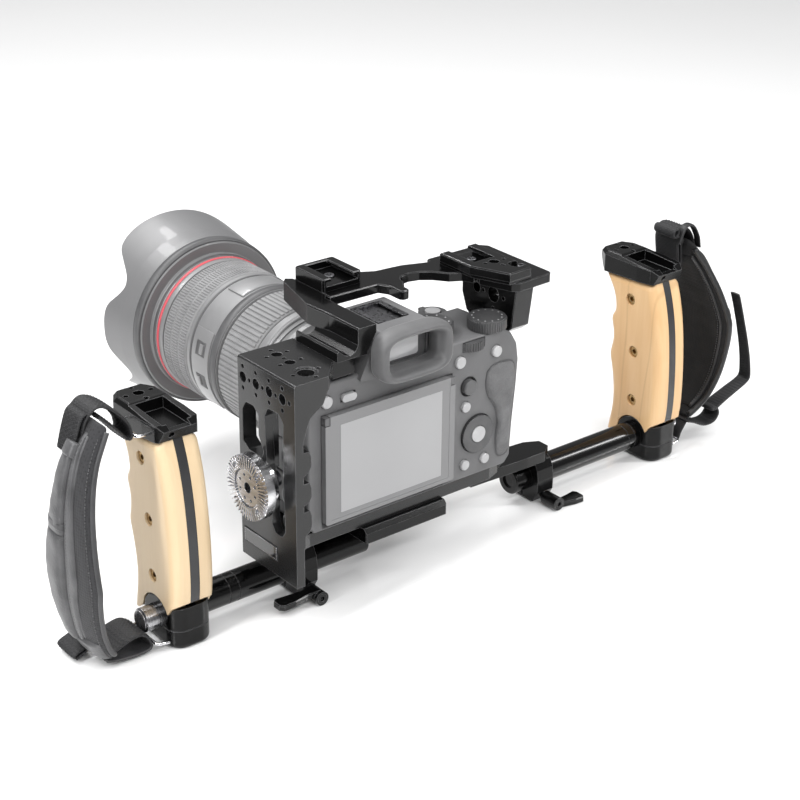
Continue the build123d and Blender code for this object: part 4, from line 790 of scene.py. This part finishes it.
# curl and loose tail
webbing("webbing_tail_right", [PR(12.0, -25.4), PR(18.0, -27.6), PR(26.0, -31.4), PR(33.0, -31.0), PR(36.2, -27.0), PR(34.4, -22.8), PR(30.6, -22.6), PR(32.8, -23.4), PR(40.0, -20.2), PR(49.0, -16.6), PR(57.0, -13.4), PR(60.0, -10.4),
        PR(59.2, -3.0), PR(56.4, 8.0), PR(51.6, 22.0), PR(46.6, 35.0), PR(42.2, 45.6)], 17.0, 23.8, 1.5, "web", HB, 420, rib=0.35,
        ys=[(20.0, 32.0), (19.0, 30.0), (18.5, 27.0), (18.2, 26.0), (18.0, 25.4), (17.8, 25.0), (17.6, 24.6), (17.5, 24.2), (17.3, 24.0), (17.1, 23.8), (16.8, 23.4), (16.6, 23.2),
            (16.5, 23.1), (16.5, 23.1), (16.5, 23.1), (16.5, 23.1), (16.6, 23.0)])

# ------------------------------------------------------------------ LENS
LX = (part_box("focus_ring")[0].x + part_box("focus_ring")[1].x) * 500 + OX
LZ = (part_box("focus_ring")[0].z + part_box("focus_ring")[1].z) * 500 + OZ


def ribbed(name, y0, y1, rin, rout, ribs, depth, mat, body, rows=1, gap=0.8, duty=0.55, replaces=None, blank=None):
    """rubber ring with raised ribs along the axis; rows staggered by half a rib"""
    steps = ribs * 6
    ys, lev = [], []
    ys += [(y0, 0.0, 0), (y0 + 0.7, 1.0, 0)]
    span = (y1 - y0 - 1.4 - gap * (rows - 1)) / rows
    y = y0 + 0.7
    prof = [(y0, rout - depth - 0.5, -1), (y0 + 0.5, rout - depth, -1)]
    for q in range(rows):
        a = y0 + 1.0 + q * (span + gap)
        b = a + span - 0.6
        prof += [(a, rout - depth, -1), (a + 0.35, rout, q), (b - 0.35, rout, q), (b, rout - depth, -1)]
    prof += [(y1 - 0.5, rout - depth, -1), (y1, rout - depth - 0.5, -1)]
    vs, fs = [], []
    rows_n = len(prof) + 2
    for i in range(steps):
        th = 2 * math.pi * i / steps
        k = (i % 6) / 6
        for (yy, rr_, q) in [(y0, rin, -1)] + prof + [(y1, rin, -1)]:
            rad = rr_
            if q >= 0:
                ph = (k + 0.5 * (q % 2)) % 1.0
                on_ = 1.0 if ph < duty else 0.0
                if blank and blank[0] < math.degrees(th) % 360 < blank[1]:
                    on_ = 0.5
                rad = rout - depth * (1 - on_)
            vs.append(W(LX + rad * math.cos(th), yy, LZ + rad * math.sin(th)))
    for i in range(steps):
        j = (i + 1) % steps
        for k in range(rows_n - 1):
            fs.append((i * rows_n + k, i * rows_n + k + 1, j * rows_n + k + 1, j * rows_n + k))
        fs.append((i * rows_n + rows_n - 1, i * rows_n, j * rows_n, j * rows_n + rows_n - 1))
    o = make(name, vs, fs, mat, body, smooth=False)
    if replaces:
        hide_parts(replaces)
    return o


def lens_rows(node_name):
    a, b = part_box(node_name)
    return a.y * 1000 + OY, b.y * 1000 + OY


a0, a1 = lens_rows("zoom_ring")
ribbed("zoom_grip", a0, a1, 32.7, 36.2, 84, 0.75, "lensr", "zoom_ring", 1, duty=0.6, replaces="zoom_ring")
b0, b1 = lens_rows("focus_ring")
ribbed("focus_grip", b0, b1, 33.7, 37.3, 150, 0.55, "lensr", "focus_ring", 3, gap=0.35, duty=0.5, replaces="focus_ring")


def lathe(name, prof, mat, body, seg=160, a0_=0.0, a1_=360.0, smooth=True, bev=0.0):
    """closed (radius, y) profile turned about the lens axis, whole or part of a turn"""
    full = abs(a1_ - a0_ - 360) < 1e-6
    n = seg if full else seg + 1
    vs, fs = [], []
    m_ = len(prof)
    for i in range(n):
        th = math.radians(a0_ + (a1_ - a0_) * i / seg)
        for (rad, yy) in prof:
            vs.append(W(LX + rad * math.cos(th), yy, LZ + rad * math.sin(th)))
    for i in range(seg):
        j = (i + 1) % n
        for k in range(m_):
            k2 = (k + 1) % m_
            fs.append((i * m_ + k, i * m_ + k2, j * m_ + k2, j * m_ + k))
    if not full:
        fs.append(tuple(range(m_)))
        fs.append(tuple((n - 1) * m_ + k for k in range(m_)))
    return make(name, vs, fs, mat, body, smooth=smooth, bevelw=bev)


# bands, grooves and windows of the barrel
lathe("red_ring", [(37.2, 159.4), (37.85, 159.5), (37.95, 160.2), (37.85, 160.9), (37.2, 161.0)], "red", "cage")
lathe("barrel_band_dark", [(36.3, 107.2), (36.75, 107.4), (36.75, 112.6), (36.3, 112.8)], "lensd", "cage")
lathe("barrel_groove_ring", [(36.3, 129.6), (36.7, 129.8), (36.7, 131.0), (36.3, 131.2)], "lensd", "cage")
lathe("barrel_front_ring", [(38.5, 165.2), (38.85, 165.3), (38.85, 166.4), (38.5, 166.5)], "lensm", "cage")
lathe("barrel_front_dark", [(37.3, 162.2), (38.1, 162.6), (38.4, 163.6), (37.3, 163.6)], "lensd", "cage")
lathe("adapter_band", [(33.7, 52.0), (34.15, 52.2), (34.15, 64.5), (33.7, 64.8)], "lensd", "cage")
lathe("adapter_rib_a", [(33.0, 94.0 - 20), (35.1, 74.2), (35.1, 76.0), (33.0, 76.2)], "lensm", "cage")
# switch plate and distance window on the left of the barrel
lathe("switch_plate", [(36.3, 113.6), (37.1, 113.8), (37.1, 128.6), (36.3, 128.8)], "lensm", "cage", seg=40, a0_=150, a1_=222, bev=0.0002)
lathe("distance_window", [(36.3, 114.2), (37.2, 114.5), (37.2, 127.8), (36.3, 128.1)], "lensm", "cage", seg=30, a0_=68, a1_=112, bev=0.0002)
lathe("switch_recess_a", [(37.0, 117.0), (37.25, 117.1), (37.25, 125.0), (37.0, 125.1)], "lensd", "cage", seg=14, a0_=160, a1_=172)
lathe("switch_slider_a", [(37.2, 118.0), (38.1, 118.3), (38.1, 121.0), (37.2, 121.3)], "lensm", "cage", seg=10, a0_=162, a1_=170, bev=0.0002)
lathe("switch_recess_b", [(37.0, 117.0), (37.25, 117.1), (37.25, 125.0), (37.0, 125.1)], "lensd", "cage", seg=14, a0_=188, a1_=200)
lathe("switch_slider_b", [(37.2, 121.0), (38.1, 121.3), (38.1, 124.0), (37.2, 124.3)], "lensm", "cage", seg=10, a0_=190, a1_=198, bev=0.0002)
# hood base ring and inner flocking
lathe("hood_base_ring", [(44.4, 165.6), (46.0, 166.2), (46.35, 168.6), (46.2, 170.8), (45.0, 170.9)], "lensd", "lens_hood")
lathe("hood_inner_flock", [(40.0, 172.6), (44.3, 172.6), (46.3, 181.0), (46.1, 181.0), (44.0, 172.9), (40.0, 172.9)], "lensd", "lens_hood")

# ------------------------------------------------------------------ CAMERA DETAILS
def rbox(name, x0, x1, y0, y1, z0, z1, rad, mat, body, bev=0.0004, seg=6):
    """plate in the X-Z plane with rounded corners and softened edges"""
    pts = []
    for (cx, cz, s) in ((x1 - rad, z1 - rad, 0), (x0 + rad, z1 - rad, 90), (x0 + rad, z0 + rad, 180), (x1 - rad, z0 + rad, 270)):
        for k in range(seg + 1):
            an = math.radians(s + 90 * k / seg)
            pts.append((cx + rad * math.cos(an), cz + rad * math.sin(an)))
    n = len(pts)
    vs = [W(x, y0, z) for (x, z) in pts] + [W(x, y1, z) for (x, z) in pts]
    fs = [tuple(range(n)), tuple(range(2 * n - 1, n - 1, -1))] + [(i, (i + 1) % n, n + (i + 1) % n, n + i) for i in range(n)]
    return make(name, vs, fs, mat, body, smooth=False, bevelw=bev)


rbox("display", -25.2, 35.8, 0.02, 0.11, 12.4, 58.2, 0.4, "display", "lcd_panel", 0.00004)
# leatherette thumb rest on the right of the back
def bulge(name, outline, y_base, lift, mat, body, n=14):
    """domed pad over an outline in (x, z), bulging towards the operator"""
    cx = sum(p[0] for p in outline) / len(outline)
    cz = sum(p[1] for p in outline) / len(outline)
    vs, fs = [], []
    m_ = len(outline)
    for k in range(n + 1):
        f = 1 - k / n
        hgt = lift * (1 - f ** 4)
        for (x, z) in outline:
            vs.append(W(cx + (x - cx) * f, y_base - hgt - (0.35 if k > 0 else 0), cz + (z - cz) * f) if k < n else W(cx, y_base - lift - 0.35, cz))
    for k in range(n):
        for i in range(m_):
            j = (i + 1) % m_
            fs.append((k * m_ + i, k * m_ + j, (k + 1) * m_ + j, (k + 1) * m_ + i))
    base = len(vs)
    for (x, z) in outline:
        vs.append(W(x, y_base + 0.6, z))
    for i in range(m_):
        j = (i + 1) % m_
        fs.append((i, j, base + j, base + i))
    fs.append(tuple(base + i for i in range(m_)))
    return make(name, vs, fs, mat, body)


thumb = catmull([(66.8, 58.5), (70.5, 61.2), (78.0, 61.5), (83.8, 59.4), (84.6, 50.0), (83.2, 38.0), (82.2, 24.0), (81.8, 12.0), (78.5, 9.4), (74.6, 11.0), (73.4, 20.0), (74.0, 30.0), (72.2, 38.0), (67.8, 45.0), (66.0, 52.0), (66.8, 58.5)], 72)[:-1]
bulge("thumb_rest", thumb, 3.0, 2.6, "leatherette", "cage")
tube("thumb_rest_groove", [(p[0], 2.9, p[1]) for p in thumb], 0.35, "lensd", "cage", 8, True)

# soft eyecup with a thick rounded lip
def superell(cx, cz, a, b, n, k, skew=0.0):
    pts = []
    for i in range(k):
        t = 2 * math.pi * i / k
        c, s = math.cos(t), math.sin(t)
        x = a * math.copysign(abs(c) ** (2 / n), c)
        z = b * math.copysign(abs(s) ** (2 / n), s)
        pts.append((cx + x + skew * (z / b), cz + z))
    return pts


def ring_loft(name, rings, mat, body, replaces=None):
    """closed tube of loops: each ring is (y, outline)"""
    k = len(rings[0][1])
    vs, fs = [], []
    for (y, pts) in rings:
        vs += [W(x, y, z) for (x, z) in pts]
    m_ = len(rings)
    for a in range(m_):
        b = (a + 1) % m_
        for i in range(k):
            j = (i + 1) % k
            fs.append((a * k + i, a * k + j, b * k + j, b * k + i))
    o = make(name, vs, fs, mat, body, sub=1)
    if replaces:
        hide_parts(replaces)
    return o


K = 72
cup = []
for (y, gx, gz, n_) in ((0.0, 20.9, 12.6, 3.6), (-3.0, 21.6, 13.1, 3.6), (-7.5, 21.8, 13.2, 3.8), (-10.6, 21.0, 12.6, 3.8), (-11.9, 19.6, 11.4, 3.8), (-11.6, 17.8, 10.0, 4.0), (-9.6, 16.4, 8.9, 4.4), (-7.0, 15.7, 8.3, 4.6),
                        (-6.6, 14.4, 7.4, 5.0), (-2.0, 13.8, 7.2, 5.0), (0.6, 13.8, 7.2, 5.0)):
    cup.append((y, superell(12.0, 87.9, gx, gz, n_, K)))
ec = ring_loft("eyecup_soft", cup, "rubber", "cage", "evf_eyecup")
rbox("finder_frame", -1.4, 24.6, 0.2, 1.4, 80.9, 94.6, 2.0, "lensd", "cage")
rbox("finder_glass", 1.2, 20.0, -0.3, 0.25, 82.6, 93.2, 1.6, "window", "cage", 0.0002)

def knob(name, x0, x1, y, z, r, mat, body):
    """rounded dark knob lying along X with a waist and a domed end"""
    prof = [(x1, 0.0), (x1, r * 0.8), (x1 - 1.2, r * 0.82), (x1 - 1.4, r), (x0 + 1.6, r), (x0 + 0.5, r * 0.9), (x0, r * 0.62), (x0 - 0.2, 0.0)]
    vs, fs = [], []
    seg = 40
    for (x, q) in prof:
        for k in range(seg):
            an = 2 * math.pi * k / seg
            vs.append(W(x, y + q * math.cos(an), z + q * math.sin(an)))
    for i in range(len(prof) - 1):
        for k in range(seg):
            fs.append((i * seg + k, i * seg + (k + 1) % seg, (i + 1) * seg + (k + 1) % seg, (i + 1) * seg + k))
    return make(name, vs, fs, mat, body)


# dial tops: engraved ring of generic dots
def dots(name, cx, cy, z, rad, count, size, mat, body):
    vs, fs = [], []
    for i in range(count):
        a = 2 * math.pi * i / count
        x, y = cx + rad * math.cos(a), cy + rad * math.sin(a)
        b = len(vs)
        for zz, s in ((z - 0.05, size), (z + 0.10, size * 0.85)):
            for k in range(8):
                an = 2 * math.pi * k / 8
                vs.append(W(x + s * math.cos(an), y + s * math.sin(an), zz))
        fs += [(b + k, b + (k + 1) % 8, b + 8 + (k + 1) % 8, b + 8 + k) for k in range(8)]
        fs += [tuple(b + k for k in range(8)), tuple(b + 8 + k for k in range(8))]
    return make(name, vs, fs, mat, body, smooth=False)


for i_, (kz, kr) in enumerate(((46.4, 5.0), (27.4, 5.2), (14.2, 4.6))):
    knob("port_knob_%d" % i_, -53.0, -42.4, 4.6, kz, kr, "knob", "cage")
dots("mode_dial_marks", 46.0, 19.5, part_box("mode_dial")[1].z * 1000 + OZ, 7.2, 9, 0.55, "button", "mode_dial")
dots("exposure_dial_marks", 71.6, 9.8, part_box("exposure_dial")[1].z * 1000 + OZ, 7.4, 13, 0.45, "button", "exposure_dial")

# ------------------------------------------------------------------ RIG DETAILS
# coloured bar on the blank badge
def side_rect(name, x, t, y0, y1, z0, z1, mat, body):
    vs = [W(xx, yy, zz) for xx in (x, x - t) for (yy, zz) in ((y0, z0), (y1, z0), (y1, z1), (y0, z1))]
    fs = [(0, 1, 2, 3), (7, 6, 5, 4), (0, 4, 5, 1), (1, 5, 6, 2), (2, 6, 7, 3), (3, 7, 4, 0)]
    return make(name, vs, fs, mat, body, smooth=False, bevelw=0.00004)


bx0, bx1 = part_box("badge_plate")
bxx = bx0.x * 1000 + OX
side_rect("badge_enamel", bxx + 0.02, 0.12, 5.4, 30.6, -3.3, 2.5, "enamel", "cage")
for (ya, yb, za, zb) in ((5.4, 30.6, 2.5, 2.75), (5.4, 30.6, -3.55, -3.3), (5.15, 5.4, -3.55, 2.75), (30.6, 30.85, -3.55, 2.75)):
    side_rect("badge_line_%d" % int(ya * 10 + za), bxx + 0.02, 0.16, ya, yb, za, zb, "brushed", "cage")
# ------------------------------------------------------------------ floor and lights
zf = 0.0
me = bpy.data.meshes.new("floor")
S = 6.0
me.from_pydata([(-S, -S, zf), (S, -S, zf), (S, S, zf), (-S, S, zf)], [], [(0, 1, 2, 3)])
fl = bpy.data.objects.new("floor", me)
bpy.context.scene.collection.objects.link(fl)
fm, nt, b = new_mat("floor")
v = coords(nt)
nt.links.new(ramp(nt, noise(nt, v, 3, 2), [(0.3, (0.93, 0.93, 0.93)), (0.7, (0.95, 0.95, 0.95))]), b.inputs["Base Color"])
nt.links.new(mrange(nt, noise(nt, v, 2, 2), 0.3, 0.7, 0.05, 0.08), b.inputs["Roughness"])
b.inputs["Specular IOR Level"].default_value = 0.5
b.inputs["Coat Weight"].default_value = 1.0
b.inputs["Coat Roughness"].default_value = 0.02
me.materials.append(fm)
C = Vector((0, 0, 0.06))
sun = bpy.data.lights.new("sun", "SUN")
sun.energy = 1.5
sun.angle = math.radians(70)
so = bpy.data.objects.new("sun", sun)
bpy.context.scene.collection.objects.link(so)
so.rotation_euler = (Vector((0, 0, 0)) - Vector((-0.55, -0.9, 2.0))).to_track_quat("-Z", "Y").to_euler()
sun2 = bpy.data.lights.new("sun_back", "SUN")
sun2.energy = 0.75
sun2.angle = math.radians(60)
so2 = bpy.data.objects.new("sun_back", sun2)
bpy.context.scene.collection.objects.link(so2)
so2.rotation_euler = (Vector((0, 0, 0)) - Vector((0.2, 1.1, 1.6))).to_track_quat("-Z", "Y").to_euler()
area("strip_left", (-1.15, -0.25, 0.75), C, 0.10, 1.3, 12)
area("strip_top", (-0.35, 0.75, 1.25), C, 1.6, 0.10, 14)
area("strip_right", (0.95, -0.75, 0.95), C, 0.10, 1.2, 10)
area("strip_rear", (-0.2, -1.2, 1.1), C, 1.2, 0.08, 8)
